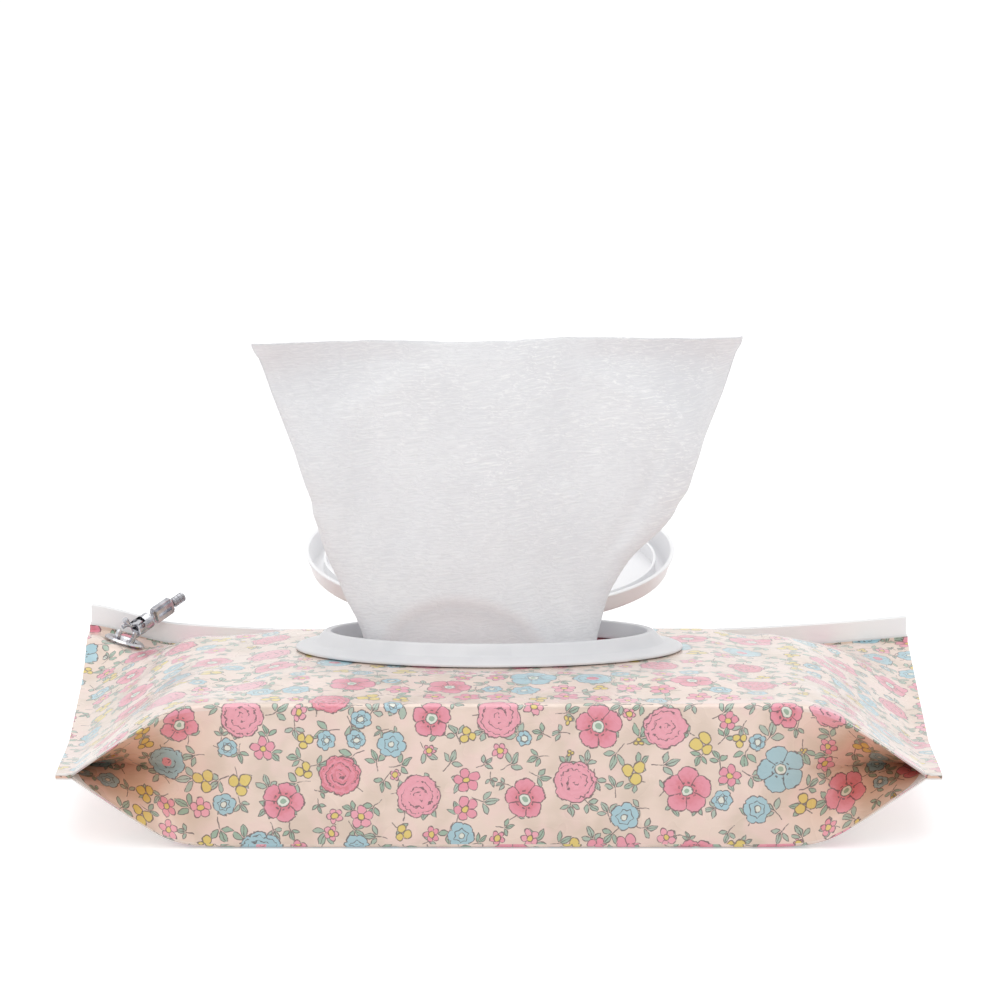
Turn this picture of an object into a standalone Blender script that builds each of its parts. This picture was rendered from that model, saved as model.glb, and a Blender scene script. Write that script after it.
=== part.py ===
"""Reusable wet wipes pouch with a flip lid, a pulled wipe, a press zip and a snap hook.

Run with: blender --background --python part.py
Metres, +Z up. The pouch lies flat with its width along X and its zip at the rear, +Y.
It is built with its front face at y = 0. One parent then puts the base's centre on the origin.
"""

import math

import bmesh
import bpy
from mathutils import Matrix, Vector

MM = 0.001

# Shared fits
GAP = 0.3 * MM
SAFE = 0.1 * MM

# Wet wipes stack
STACK_WIDTH = 142 * MM
STACK_DEPTH = 100 * MM
STACK_HEIGHT = 38 * MM
STACK_CORNER = 8 * MM
STACK_EDGE = 3 * MM
STACK_LAYERS = 7
LAYER_GROOVE = 0.35 * MM
FRONT_SLACK = 1.1 * MM

# Pouch film
BAG_WIDTH = 240 * MM
FILM = 0.6 * MM
SEAL_BAND = 4.5 * MM
SEAL_THICKNESS = 1.0 * MM
SIDE_FREE = 0.1 * MM
EDGE_ROUND = 1.5 * MM
EDGE_DROP = 0.8 * MM
TOP_CROWN = 2.0 * MM
CROWN_SHOULDER = 14 * MM
CROWN_RISE = 34 * MM
SEAL_DIP = 1.2 * MM
SEAL_TURN = 50 * MM
CORNER_LIFT = 3.5 * MM
CORNER_LIFT_LENGTH = 26 * MM
CAVITY_STOP = 1.6 * MM

# Press zip at the rear
TAIL_LENGTH = 37 * MM
ZIP_SAG_HEIGHT = 26 * MM
ZIP_END_RISE = 5 * MM
NECK_HEIGHT = 1.6 * MM
NECK_DROP = 3.0 * MM
STRIP_THICKNESS = 0.7 * MM
STRIP_HEIGHT = 8 * MM
STRIP_SPACE = 1.4 * MM
STRIP_END_INSET = 0.4 * MM
RIB_HEIGHT = 1.1 * MM
RIB_STEM = 0.6 * MM
JAW_THICKNESS = 0.6 * MM
JAW_FIT = 0.35 * MM
RIB_LEVEL = 4.8 * MM

# Flip lid base, an oval ring on the top film
RING_SHIFT = -2.7 * MM
RING_Y = 70 * MM
MOUTH_LENGTH = 89 * MM
MOUTH_DEPTH = 40 * MM
RIM_WIDTH = 2.2 * MM
RIM_HEIGHT = 5.0 * MM
COLLAR_FOOT = 4.8 * MM
COLLAR_FOOT_HEIGHT = 1.9 * MM
FLANGE_WIDTH = 10 * MM
FLANGE_EDGE = 0.6 * MM
FILM_HOLE_INSET = 1.0 * MM
THUMB_WIDTH = 12 * MM
THUMB_DEPTH = 0.8 * MM

# Flip lid
LID_GROW = 9.4 * MM
LID_WALL = 1.2 * MM
LID_HEIGHT = 8.4 * MM
LID_DRAFT = 1.6 * MM
LID_ROUND = 3.4 * MM
LID_TAB_WIDTH = 16 * MM
LID_TAB_REACH = 2.6 * MM
SEAL_RIB = 0.9 * MM
SEAL_RIB_SPACE = 0.9 * MM
SEAL_RIB_DEPTH = 4.4 * MM
HINGE_WIDTH = 46 * MM
HINGE_SETBACK = 1.6 * MM
HINGE_HEIGHT = 2.6 * MM
HINGE_BEAD = 0.6 * MM
HINGE_LEAF = 0.8 * MM
LID_OPEN = math.radians(153)

# Pulled wipe
WIPE_WIDTH = 140 * MM
WIPE_TOP = 131 * MM
WIPE_THICKNESS = 0.8 * MM
WIPE_FRONT_SPACE = 5.2 * MM
WIPE_LEAN = 9 * MM
WIPE_NECK_SHIFT = -5.5 * MM
WIPE_TOP_SHIFT = -0.7 * MM
WIPE_NECK_HALF = 33 * MM
WIPE_TOP_HALF = 68.5 * MM
WIPE_BEND = 18 * MM
WIPE_CURL_LEFT = math.radians(168)
WIPE_CURL_RIGHT = math.radians(159)
WIPE_COLLAR = 0.12
WIPE_BOW = 0.34
WIPE_NECK_WAVE = 0.06
WIPE_FREE_WAVE = 0.6
WIPE_HELD_WAVE = 0.32
WIPE_WAVELENGTH = 62 * MM
WIPE_COLUMNS = 30
WIPE_ROWS = 15

# Welded patch and eyelet in the rear left corner
PATCH_RADIUS = 7.5 * MM
PATCH_FADE = 7 * MM
PATCH_THICKNESS = 1.3 * MM
PATCH_SLOPE_X = -0.3
PATCH_SLOPE_Y = -0.05
PATCH_LEVEL = 31.6 * MM
EYELET_INSET = 10.5 * MM
EYELET_TO_ZIP = 11.5 * MM
EYELET_HOLE = 3.6 * MM
EYELET_WALL = 0.4 * MM
EYELET_FLANGE = 6.1 * MM
EYELET_ROLL = 0.9 * MM
EYELET_SEAT = 0.4 * MM
WASHER_THICKNESS = 0.7 * MM
WASHER_RADIUS = 5.9 * MM

# Snap hook, sizes along its own length from the centre of its claw
CLAW_RADIUS = 3.2 * MM
CLAW_WIRE = 0.8 * MM
CLAW_LIFT = 2.5 * MM
CLAW_MOUTH_START = math.radians(34)
CLAW_MOUTH_END = math.radians(118)
TRIGGER_SHORT = math.radians(21)
BODY_START = 3.4 * MM
BODY_END = 9.2 * MM
BODY_RADIUS = 2.5 * MM
TRIGGER_WIDTH = 3.0 * MM
PIN_RADIUS = 0.5 * MM
PIN_ALONG = 5.2 * MM
PIN_UP = 1.1 * MM
HUB_RADIUS = 1.1 * MM
SPRING_WIRE = 0.12 * MM
SPRING_RADIUS = 0.82 * MM
SPRING_TURNS = 3
SPRING_PITCH = 0.3 * MM
POST_RADIUS = 0.8 * MM
POST_HEAD = 1.3 * MM
POST_HEAD_LENGTH = 0.8 * MM
END_WALL = 1.2 * MM
SWIVEL_GAP = 1.2 * MM
LOOP_LENGTH = 7.6 * MM
LOOP_HEIGHT = 5.0 * MM
LOOP_THICKNESS = 3.0 * MM
LOOP_SLOT = 1.1 * MM
LOOP_END_WALL = 1.3 * MM
FERRULE_LENGTH = 4.2 * MM
FERRULE_RADIUS = 1.5 * MM
FERRULE_PIN = 0.7 * MM
FERRULE_GROOVES = 3
FERRULE_GROOVE = 0.16 * MM
HOOK_DIRECTION = Vector((0.71, 0.57, 0.41))

# Derived places
HALF = BAG_WIDTH / 2
SEAL_INNER = HALF - SEAL_BAND
STACK_FRONT = FILM + GAP + FRONT_SLACK
STACK_REAR = STACK_FRONT + STACK_DEPTH
BASE_CENTRE_Y = (STACK_FRONT + STACK_REAR) / 2
STACK_BOTTOM = FILM + GAP
STACK_TOP = STACK_BOTTOM + STACK_HEIGHT
FILM_TOP = STACK_TOP + GAP + FILM
FRONT_MIDDLE = FILM_TOP / 2
ZIP_Y = STACK_REAR + TAIL_LENGTH
NECK_HALF = FILM + GAP + STRIP_THICKNESS + STRIP_SPACE / 2
NECK_FRONT = ZIP_Y - NECK_HALF
NECK_REAR = ZIP_Y + NECK_HALF
RING_BASE = FILM_TOP + TOP_CROWN + GAP
HINGE_Y = RING_Y + MOUTH_DEPTH / 2 + FLANGE_WIDTH + HINGE_SETBACK
HINGE_Z = RING_BASE + HINGE_HEIGHT
EYELET_X = EYELET_INSET - HALF
EYELET_Y = ZIP_Y - EYELET_TO_ZIP


# Small helpers

def smoothstep(value):
    """Return a smooth 0 to 1 ramp of a value, flat at both ends."""
    value = min(max(value, 0.0), 1.0)
    return value * value * (3 - 2 * value)


def clear_scene():
    """Remove every object that the file starts with."""
    for item in list(bpy.data.objects):
        bpy.data.objects.remove(item, do_unlink=True)


def new_collection(name):
    """Create a collection in the scene."""
    collection = bpy.data.collections.new(name)
    bpy.context.scene.collection.children.link(collection)
    return collection


def new_material(name, colour, roughness, metallic=0.0):
    """Create a Principled material."""
    material = bpy.data.materials.new(name)
    material.use_nodes = True
    shader = material.node_tree.nodes["Principled BSDF"]
    shader.inputs["Base Color"].default_value = (*colour, 1.0)
    shader.inputs["Roughness"].default_value = roughness
    shader.inputs["Metallic"].default_value = metallic
    return material


def add_mesh(name, bm, collection, material=None):
    """Turn a bmesh into a named object."""
    bmesh.ops.recalc_face_normals(bm, faces=bm.faces)
    mesh = bpy.data.meshes.new(name)
    bm.to_mesh(mesh)
    bm.free()
    item = bpy.data.objects.new(name, mesh)
    collection.objects.link(item)
    if material is not None:
        mesh.materials.append(material)
    return item


def loft(name, loops, collection, material=None, ring=False):
    """Skin a row of point loops, each with the same number of points.

    With ring set, the last loop joins the first. Otherwise both ends are capped.
    """
    bm = bmesh.new()
    rows = [[bm.verts.new(point) for point in loop] for loop in loops]
    pairs = list(zip(rows, rows[1:]))
    if ring:
        pairs.append((rows[-1], rows[0]))
    for first, second in pairs:
        count = len(first)
        for index in range(count):
            after = (index + 1) % count
            bm.faces.new((first[index], first[after], second[after], second[index]))
    if not ring:
        bm.faces.new(rows[0])
        bm.faces.new(rows[-1])
    return add_mesh(name, bm, collection, material)


def add_box(name, low, high, collection, bevel=0.0):
    """Create a box between two corners, with an optional small bevel."""
    low = Vector(low)
    high = Vector(high)
    bm = bmesh.new()
    bmesh.ops.create_cube(bm, size=1.0)
    size = high - low
    bmesh.ops.scale(bm, vec=size, verts=bm.verts)
    bmesh.ops.translate(bm, vec=(low + high) / 2, verts=bm.verts)
    if bevel > 0:
        bmesh.ops.bevel(bm, geom=bm.edges, offset=bevel, segments=2, affect="EDGES")
    return add_mesh(name, bm, collection)


def add_rod(name, start, end, radius, collection, segments=20, end_radius=None):
    """Create a cylinder or cone between two points."""
    start = Vector(start)
    end = Vector(end)
    bm = bmesh.new()
    length = (end - start).length
    turn = Vector((0, 0, 1)).rotation_difference(end - start).to_matrix().to_4x4()
    place = Matrix.Translation((start + end) / 2) @ turn
    top = radius if end_radius is None else end_radius
    bmesh.ops.create_cone(
        bm, cap_ends=True, segments=segments, radius1=radius, radius2=top, depth=length, matrix=place
    )
    return add_mesh(name, bm, collection)


def combine(target, tool, operation):
    """Apply a Boolean of one object to another and drop the tool."""
    modifier = target.modifiers.new(operation.lower(), "BOOLEAN")
    modifier.operation = operation
    modifier.solver = "EXACT"
    modifier.object = tool
    apply_modifiers(target)
    bpy.data.objects.remove(tool, do_unlink=True)


def apply_modifiers(item):
    """Replace an object's mesh by its evaluated mesh."""
    graph = bpy.context.evaluated_depsgraph_get()
    mesh = bpy.data.meshes.new_from_object(item.evaluated_get(graph))
    item.modifiers.clear()
    old = item.data
    item.data = mesh
    mesh.name = item.name
    if old.users == 0:
        bpy.data.meshes.remove(old)


def finish(item, material, angle=35):
    """Give an object its material and smooth shading with sharp edges kept."""
    item.data.materials.clear()
    item.data.materials.append(material)
    item.data.shade_smooth()
    item.data.set_sharp_from_angle(angle=math.radians(angle))


def hang_on(item, parent):
    """Parent an object whose mesh is already in the parent's own space."""
    item.parent = parent


# Film surfaces, as heights over the plan

def zip_base(x):
    """Height of the zip neck's foot along the rear edge."""
    rise = ZIP_END_RISE * (abs(x) / HALF) ** 2.5
    return ZIP_SAG_HEIGHT + rise + corner_lift(x)


def corner_lift(x):
    """The rear left corner is pulled up by the hook."""
    return CORNER_LIFT * smoothstep((-x - (HALF - CORNER_LIFT_LENGTH)) / CORNER_LIFT_LENGTH)


def seal_line(x, y):
    """Height of the side seal, from the front corner to the zip's end."""
    zip_end = ZIP_SAG_HEIGHT + ZIP_END_RISE
    low = FRONT_MIDDLE - SEAL_DIP
    if y < SEAL_TURN:
        return FRONT_MIDDLE - SEAL_DIP * smoothstep(y / SEAL_TURN)
    along = (y - SEAL_TURN) / (ZIP_Y - SEAL_TURN)
    lift = corner_lift(x) * smoothstep((y - STACK_REAR) / (TAIL_LENGTH * 0.6))
    return low + (zip_end - low) * along ** 1.1 + lift


def fullness(x):
    """Share of the full height that the film keeps between stack and side seal."""
    start = STACK_WIDTH / 2 - SIDE_FREE
    share = (abs(x) - start) / (SEAL_INNER - start)
    if share <= 0:
        return 1.0
    if share >= 1:
        return 0.0
    bend = math.log(1 + math.exp(12 * (share - 0.4)))
    return 1 - bend / math.log(1 + math.exp(7.2))


def patch_share(x, y):
    """How far the welded patch around the eyelet decides the film's height."""
    distance = math.hypot(x - EYELET_X, y - EYELET_Y)
    round_share = 1 - smoothstep((distance - PATCH_RADIUS) / PATCH_FADE)
    space = NECK_FRONT - EYELET_Y - EYELET_FLANGE
    return round_share * (1 - smoothstep((y - EYELET_Y - EYELET_FLANGE) / space))


def patch_height(x, y):
    """Middle height of the flat welded patch."""
    return PATCH_LEVEL + PATCH_SLOPE_X * (x - EYELET_X) + PATCH_SLOPE_Y * (y - EYELET_Y)


def top_height(x, y):
    """Height of the top film's outer face."""
    share = patch_share(x, y)
    patch = patch_height(x, y) + PATCH_THICKNESS / 2
    return free_top_height(x, y) * (1 - share) + patch * share


def bottom_height(x, y):
    """Height of the bottom film's outer face."""
    share = patch_share(x, y)
    patch = patch_height(x, y) - PATCH_THICKNESS / 2
    return free_bottom_height(x, y) * (1 - share) + patch * share


def free_top_height(x, y):
    """Height of the top film's outer face without the patch."""
    crown_across = 1 - smoothstep((abs(x) - (STACK_WIDTH / 2 + MM - CROWN_SHOULDER)) / CROWN_SHOULDER)
    crown_along = smoothstep(y / CROWN_RISE)
    height = FILM_TOP + TOP_CROWN * crown_across * crown_along
    tail_start = STACK_REAR - GAP - MM
    if y > tail_start:
        fall = (y - tail_start) / (NECK_FRONT - tail_start)
        height += (zip_base(x) + FILM - height) * min(fall, 1.0) ** 1.15
    if y < EDGE_ROUND:
        height -= EDGE_DROP * (1 - y / EDGE_ROUND) ** 2
    seal = seal_line(x, y) + SEAL_THICKNESS / 2
    return seal + (height - seal) * fullness(x)


def free_bottom_height(x, y):
    """Height of the bottom film's outer face without the patch."""
    height = 0.0
    if y > STACK_REAR:
        rise = (y - STACK_REAR) / (NECK_REAR - STACK_REAR)
        height = (zip_base(x) - FILM - GAP - NECK_DROP) * min(rise, 1.0) ** 1.3
    if y < EDGE_ROUND:
        height += EDGE_DROP * (1 - y / EDGE_ROUND) ** 2
    seal = seal_line(x, y) - SEAL_THICKNESS / 2
    low = seal - (seal - height) * fullness(x)
    return min(low, zip_base(x) - FILM - GAP)


def gusset_depth(x):
    """How far the front face's crease is folded in."""
    if abs(x) >= SEAL_INNER:
        return 0.0
    whole = top_height(0, 0) - bottom_height(0, 0)
    here = top_height(x, 0) - bottom_height(x, 0)
    return whole / 2 * math.sqrt(max(1 - (here / whole) ** 2, 0.0))


def section_depths(front, rear):
    """The y stations of one film section."""
    start = front + EDGE_ROUND
    stack = [start + (STACK_REAR - start) * share for share in (0.2, 0.42, 0.7, 0.96)]
    shares = (0.04, 0.14, 0.28, 0.42, 0.53, 0.64, 0.75, 0.86, 1)
    tail = [STACK_REAR + (rear - STACK_REAR) * share for share in shares]
    return [front, start] + stack + tail


def film_stations():
    """The x stations, closer together where the film bends to the seal."""
    free = SEAL_INNER - STACK_WIDTH / 2 + SIDE_FREE
    shares = (1, 0.9, 0.8, 0.7, 0.6, 0.5, 0.4, 0.3, 0.2, 0.1)
    side = [SEAL_INNER - free * share for share in shares]
    ends = [SEAL_INNER - SAFE * 4, SEAL_INNER, HALF]
    right = [0.0, side[0] * 0.4, side[0] * 0.8] + side + ends
    left = [-x for x in right if x > 0]
    left += [-(SEAL_INNER - free * share) for share in (0.25, 0.15, 0.05)]
    return sorted(left + right)


def outer_section(x):
    """One closed loop of the film's outside in the plane at x."""
    neck_foot = zip_base(x)
    points = [(y, bottom_height(x, y)) for y in section_depths(0, NECK_REAR)]
    points += [(NECK_REAR, neck_foot + NECK_HEIGHT), (NECK_FRONT, neck_foot + NECK_HEIGHT)]
    points += [(y, top_height(x, y)) for y in reversed(section_depths(0, NECK_FRONT))]
    crease = gusset_depth(x)
    upper = top_height(x, 0)
    lower = bottom_height(x, 0)
    middle = (top_height(x, crease) + bottom_height(x, crease)) / 2
    points += [
        (crease / 2, (upper + middle) / 2),
        (crease, middle),
        (crease / 2, (lower + middle) / 2),
    ]
    return [(x, y, z) for y, z in points]


def inner_heights(x, y):
    """Heights of the film's two inner faces, which nearly touch where it is welded."""
    low = bottom_height(x, y)
    high = top_height(x, y)
    half = max((high - low) / 2 - FILM, SAFE / 2)
    return (low + high) / 2 - half, (low + high) / 2 + half


def inner_section(x):
    """One closed loop of the film's inside in the plane at x."""
    foot = zip_base(x)
    crease = gusset_depth(x)
    half_front = (top_height(x, 0) - bottom_height(x, 0)) / 2
    slope = math.atan2(half_front, crease)
    tip = FILM / math.tan(slope / 2)
    inner_crease = crease + FILM / math.sin(slope)
    middle = (top_height(x, crease) + bottom_height(x, crease)) / 2
    neck_in = FILM + SAFE
    bottom = [(y, inner_heights(x, y)[0]) for y in section_depths(tip, NECK_REAR - neck_in)]
    neck = [(NECK_REAR - neck_in, foot + GAP), (NECK_FRONT + neck_in, foot + GAP)]
    top = [(y, inner_heights(x, y)[1]) for y in reversed(section_depths(tip, NECK_FRONT))]
    upper = top[-1][1]
    lower = bottom[0][1]
    front = [
        ((tip + inner_crease) / 2, (upper + middle) / 2),
        (inner_crease, middle),
        ((tip + inner_crease) / 2, (lower + middle) / 2),
    ]
    return [(x, y, z) for y, z in bottom + neck + top + front]


def oval(grow, z, segments=44):
    """One oval loop, at a distance outside the lid base's mouth."""
    points = []
    for index in range(segments):
        angle = 2 * math.pi * index / segments
        across = MOUTH_LENGTH / 2 + grow
        deep = MOUTH_DEPTH / 2 + grow
        points.append((RING_SHIFT + across * math.cos(angle), RING_Y + deep * math.sin(angle), z))
    return points


# Pouch

def build_pouch_film(parts, cutters, material):
    """The printed film bag: a folded front, side seals and a neck for the zip."""
    stations = film_stations()
    film = loft("pouch_film", [outer_section(x) for x in stations], parts)
    limit = SEAL_INNER - CAVITY_STOP
    inside = [-limit] + [x for x in stations if abs(x) < limit - MM] + [limit]
    cavity = loft("film_cavity", [inner_section(x) for x in inside], cutters)
    combine(film, cavity, "DIFFERENCE")

    slot_loops = []
    for x in [-HALF - MM] + stations + [HALF + MM]:
        foot = zip_base(x)
        top = foot + NECK_HEIGHT + MM
        front = NECK_FRONT + FILM
        rear = NECK_REAR - FILM
        slot_loops.append([(x, front, foot), (x, rear, foot), (x, rear, top), (x, front, top)])
    combine(film, loft("zip_slot", slot_loops, cutters), "DIFFERENCE")

    high = RING_BASE + RIM_HEIGHT
    low = STACK_TOP - STACK_EDGE
    mouth = loft("film_mouth", [oval(-FILM_HOLE_INSET, low), oval(-FILM_HOLE_INSET, high)], cutters)
    combine(film, mouth, "DIFFERENCE")

    place = eyelet_frame()
    reach = place.to_3x3() @ Vector((0, 0, PATCH_THICKNESS + MM))
    centre = place.translation
    hole_radius = EYELET_HOLE + EYELET_WALL + GAP
    hole = add_rod("eyelet_cut", centre - reach, centre + reach, hole_radius, cutters, 28)
    combine(film, hole, "DIFFERENCE")
    finish(film, material, 50)
    return film


def build_zip(parts, materials):
    """Two interlocking strips: a grooved one in front and a ribbed one behind."""
    first = NECK_FRONT + FILM + GAP
    second = NECK_REAR - FILM - GAP
    front_face = first + STRIP_THICKNESS
    rear_face = second - STRIP_THICKNESS
    half_rib = RIB_HEIGHT / 2
    jaw_low = RIB_LEVEL - half_rib - JAW_FIT
    jaw_high = RIB_LEVEL + half_rib + JAW_FIT
    jaw_tip = rear_face - STRIP_SPACE * 0.35
    rib_tip = front_face + GAP
    rib_neck = rear_face - STRIP_SPACE * 0.35
    grooved = [
        (first, GAP), (front_face, GAP),
        (front_face, jaw_low - JAW_THICKNESS), (jaw_tip, jaw_low - JAW_THICKNESS),
        (jaw_tip, jaw_low), (front_face, jaw_low),
        (front_face, jaw_high), (jaw_tip, jaw_high),
        (jaw_tip, jaw_high + JAW_THICKNESS), (front_face, jaw_high + JAW_THICKNESS),
        (front_face, STRIP_HEIGHT), (first, STRIP_HEIGHT),
    ]
    ribbed = [
        (second, GAP), (second, STRIP_HEIGHT), (rear_face, STRIP_HEIGHT),
        (rear_face, RIB_LEVEL + RIB_STEM / 2), (rib_neck, RIB_LEVEL + RIB_STEM / 2),
        (rib_neck, RIB_LEVEL + half_rib), (rib_tip, RIB_LEVEL + half_rib),
        (rib_tip, RIB_LEVEL - half_rib), (rib_neck, RIB_LEVEL - half_rib),
        (rib_neck, RIB_LEVEL - RIB_STEM / 2), (rear_face, RIB_LEVEL - RIB_STEM / 2),
        (rear_face, GAP),
    ]
    end = HALF - STRIP_END_INSET
    steps = 22
    stations = [-end + 2 * end * index / steps for index in range(steps + 1)]
    for name, profile in (("zip_track_front", grooved), ("zip_track_rear", ribbed)):
        loops = [[(x, y, zip_base(x) + z) for y, z in profile] for x in stations]
        strip = loft(name, loops, parts)
        finish(strip, materials["zip"])


def rounded_rectangle(half_x, half_y, radius, centre_y, z, per_corner=5):
    """One loop of a rectangle with round corners."""
    points = []
    corners = ((1, 1, 0), (-1, 1, 90), (-1, -1, 180), (1, -1, 270))
    for side_x, side_y, start in corners:
        for index in range(per_corner):
            angle = math.radians(start + 90 * index / (per_corner - 1))
            points.append((
                side_x * (half_x - radius) + radius * math.cos(angle),
                centre_y + side_y * (half_y - radius) + radius * math.sin(angle),
                z,
            ))
    return points


def build_stack(parts, material):
    """The folded wipes, as one block with a shallow groove between layers."""
    middle = (STACK_FRONT + STACK_REAR) / 2
    half_x = STACK_WIDTH / 2
    half_y = STACK_DEPTH / 2
    crown = TOP_CROWN - GAP
    sections = []
    for index in range(4):
        angle = math.pi / 2 * index / 3
        inset = STACK_EDGE * (1 - math.sin(angle))
        sections.append((inset, STACK_BOTTOM + STACK_EDGE * (1 - math.cos(angle))))
    straight = STACK_HEIGHT - 2 * STACK_EDGE
    pitch = straight / STACK_LAYERS
    for layer in range(1, STACK_LAYERS):
        level = STACK_BOTTOM + STACK_EDGE + pitch * layer
        sections += [(0, level - pitch * 0.2), (LAYER_GROOVE, level), (0, level + pitch * 0.2)]
    for index in range(4):
        angle = math.pi / 2 * index / 3
        inset = STACK_EDGE * (1 - math.cos(angle))
        sections.append((inset, STACK_TOP - STACK_EDGE * (1 - math.sin(angle))))
    sections.append((STACK_EDGE + CROWN_SHOULDER, STACK_TOP + crown * 0.75))
    sections.append((STACK_EDGE + CROWN_SHOULDER * 1.6, STACK_TOP + crown))
    loops = []
    for inset, z in sections:
        corner = max(STACK_CORNER - inset * 0.3, STACK_CORNER * 0.4)
        loops.append(rounded_rectangle(half_x - inset, half_y - inset, corner, middle, z))
    finish(loft("wipes_stack", loops, parts), material, 60)


# Pulled wipe

def wipe_half_width(height):
    """Half width of the pulled wipe's front view, for 0 at its neck to 1 at its top."""
    flare = height ** 1.25 + 0.5 * height * (1 - height) * smoothstep(height / 0.35)
    return WIPE_NECK_HALF + (WIPE_TOP_HALF - WIPE_NECK_HALF) * flare


def wipe_line(height, start):
    """Plan line of the wipe at one height, whose sides turn back from a start on each side."""
    steps = WIPE_COLUMNS // 2
    piece = WIPE_WIDTH / 2 / steps
    wave = WIPE_NECK_WAVE + (WIPE_FREE_WAVE - WIPE_NECK_WAVE) * smoothstep(height / 0.75)
    wave -= (WIPE_FREE_WAVE - WIPE_HELD_WAVE) * smoothstep((height - 0.75) / 0.25)
    halves = []
    for side, neck_curl in ((-1, WIPE_CURL_LEFT), (1, WIPE_CURL_RIGHT)):
        x = 0.0
        y = 0.0
        line = []
        above = max(height - WIPE_COLLAR, 0) / (1 - WIPE_COLLAR)
        curl = neck_curl * (1 - above) ** 0.9
        for index in range(steps):
            along = piece * (index + 0.5)
            bow = WIPE_BOW * (1 - height) * min(along / start, 1.0)
            turn = bow + (curl - bow) * smoothstep((along - start) / WIPE_BEND)
            turn += wave * math.sin(along * side * 2 * math.pi / WIPE_WAVELENGTH + 0.8 * height) * side
            x += piece * math.cos(turn) * side
            y += piece * math.sin(turn)
            line.append((x, y))
        halves.append(line)
    return list(reversed(halves[0])) + [(0.0, 0.0)] + halves[1]


def wipe_row(height):
    """Plan line at one height, turned back where it gives the wanted half width."""
    target = wipe_half_width(height)
    low = WIPE_BEND / 2
    high = WIPE_WIDTH / 2
    for _ in range(24):
        middle = (low + high) / 2
        line = wipe_line(height, middle)
        reach = (max(x for x, _ in line) - min(x for x, _ in line)) / 2
        if reach < target:
            low = middle
        else:
            high = middle
    return wipe_line(height, (low + high) / 2)


def build_pulled_wipe(parts, material):
    """The wipe drawn up through the mouth, gathered at its neck and spread at its top."""
    bottom = STACK_TOP + TOP_CROWN
    front = RING_Y - MOUTH_DEPTH / 2 + WIPE_FRONT_SPACE + WIPE_THICKNESS
    bm = bmesh.new()
    rows = []
    for row in range(WIPE_ROWS + 1):
        height = row / WIPE_ROWS
        line = wipe_row(height)
        nearest = min(y for _, y in line)
        third = len(line) // 3
        middle_y = sum(y for _, y in line[third:-third]) / (len(line) - 2 * third)
        free = smoothstep(height / 0.5)
        middle_x = (min(x for x, _ in line) + max(x for x, _ in line)) / 2
        shift_x = WIPE_NECK_SHIFT + (WIPE_TOP_SHIFT - WIPE_NECK_SHIFT) * smoothstep((height - 0.2) / 0.3)
        shift_x -= middle_x
        shift_y = front + WIPE_LEAN * height - nearest * (1 - free) - middle_y * free
        z = bottom + (WIPE_TOP - bottom) * height
        rows.append([bm.verts.new((x + shift_x, y + shift_y, z)) for x, y in line])
    for first, second in zip(rows, rows[1:]):
        for index in range(len(first) - 1):
            bm.faces.new((first[index], first[index + 1], second[index + 1], second[index]))
    wipe = add_mesh("pulled_wipe", bm, parts)
    solid = wipe.modifiers.new("thickness", "SOLIDIFY")
    solid.thickness = WIPE_THICKNESS
    solid.offset = 0
    apply_modifiers(wipe)
    finish(wipe, material, 60)


# Flip lid

def build_lid_base(parts, cutters, material):
    """The oval ring: a sloping flange, a collar with a rim, and a rail for the hinge."""
    profile = [
        (0, 0), (FLANGE_WIDTH, 0), (FLANGE_WIDTH, FLANGE_EDGE),
        (FLANGE_WIDTH - FLANGE_EDGE, FLANGE_EDGE * 1.7),
        (COLLAR_FOOT + 2 * SAFE, COLLAR_FOOT_HEIGHT - 2 * SAFE), (COLLAR_FOOT, COLLAR_FOOT_HEIGHT),
        (RIM_WIDTH + 2 * SAFE, RIM_HEIGHT - 5 * SAFE),
        (RIM_WIDTH - 3 * SAFE, RIM_HEIGHT), (5 * SAFE, RIM_HEIGHT), (0, RIM_HEIGHT - 5 * SAFE),
    ]
    loops = [oval(grow, RING_BASE + z) for grow, z in profile]
    base = loft("lid_base", loops, parts, ring=True)

    flange_rear = RING_Y + MOUTH_DEPTH / 2 + FLANGE_WIDTH
    rail_top = HINGE_Z - HINGE_BEAD - GAP
    rail = add_box(
        "hinge_rail",
        (RING_SHIFT - HINGE_WIDTH / 2, flange_rear - 2 * MM, RING_BASE),
        (RING_SHIFT + HINGE_WIDTH / 2, HINGE_Y + HINGE_BEAD, rail_top),
        cutters,
        0.2 * MM,
    )
    skirt_path = loft(
        "skirt_path",
        [oval(LID_GROW + GAP, RING_BASE + FLANGE_EDGE * 2.6), oval(LID_GROW + GAP, RING_BASE + RIM_HEIGHT)],
        cutters,
    )
    combine(rail, skirt_path, "DIFFERENCE")
    combine(base, rail, "UNION")

    mouth_front = RING_Y - MOUTH_DEPTH / 2
    low = COLLAR_FOOT_HEIGHT + GAP
    high = RIM_HEIGHT + MM
    slope = (COLLAR_FOOT - RIM_WIDTH) / (RIM_HEIGHT - COLLAR_FOOT_HEIGHT)
    deep = COLLAR_FOOT - THUMB_DEPTH
    sides = [(deep, low), (COLLAR_FOOT + MM, low), (COLLAR_FOOT + MM, high), (deep - slope * (high - low), high)]
    notch_loops = []
    for x in (RING_SHIFT - THUMB_WIDTH / 2, RING_SHIFT + THUMB_WIDTH / 2):
        notch_loops.append([(x, mouth_front - grow, RING_BASE + z) for grow, z in sides])
    combine(base, loft("thumb_notch", notch_loops, cutters), "DIFFERENCE")
    finish(base, material)


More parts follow.
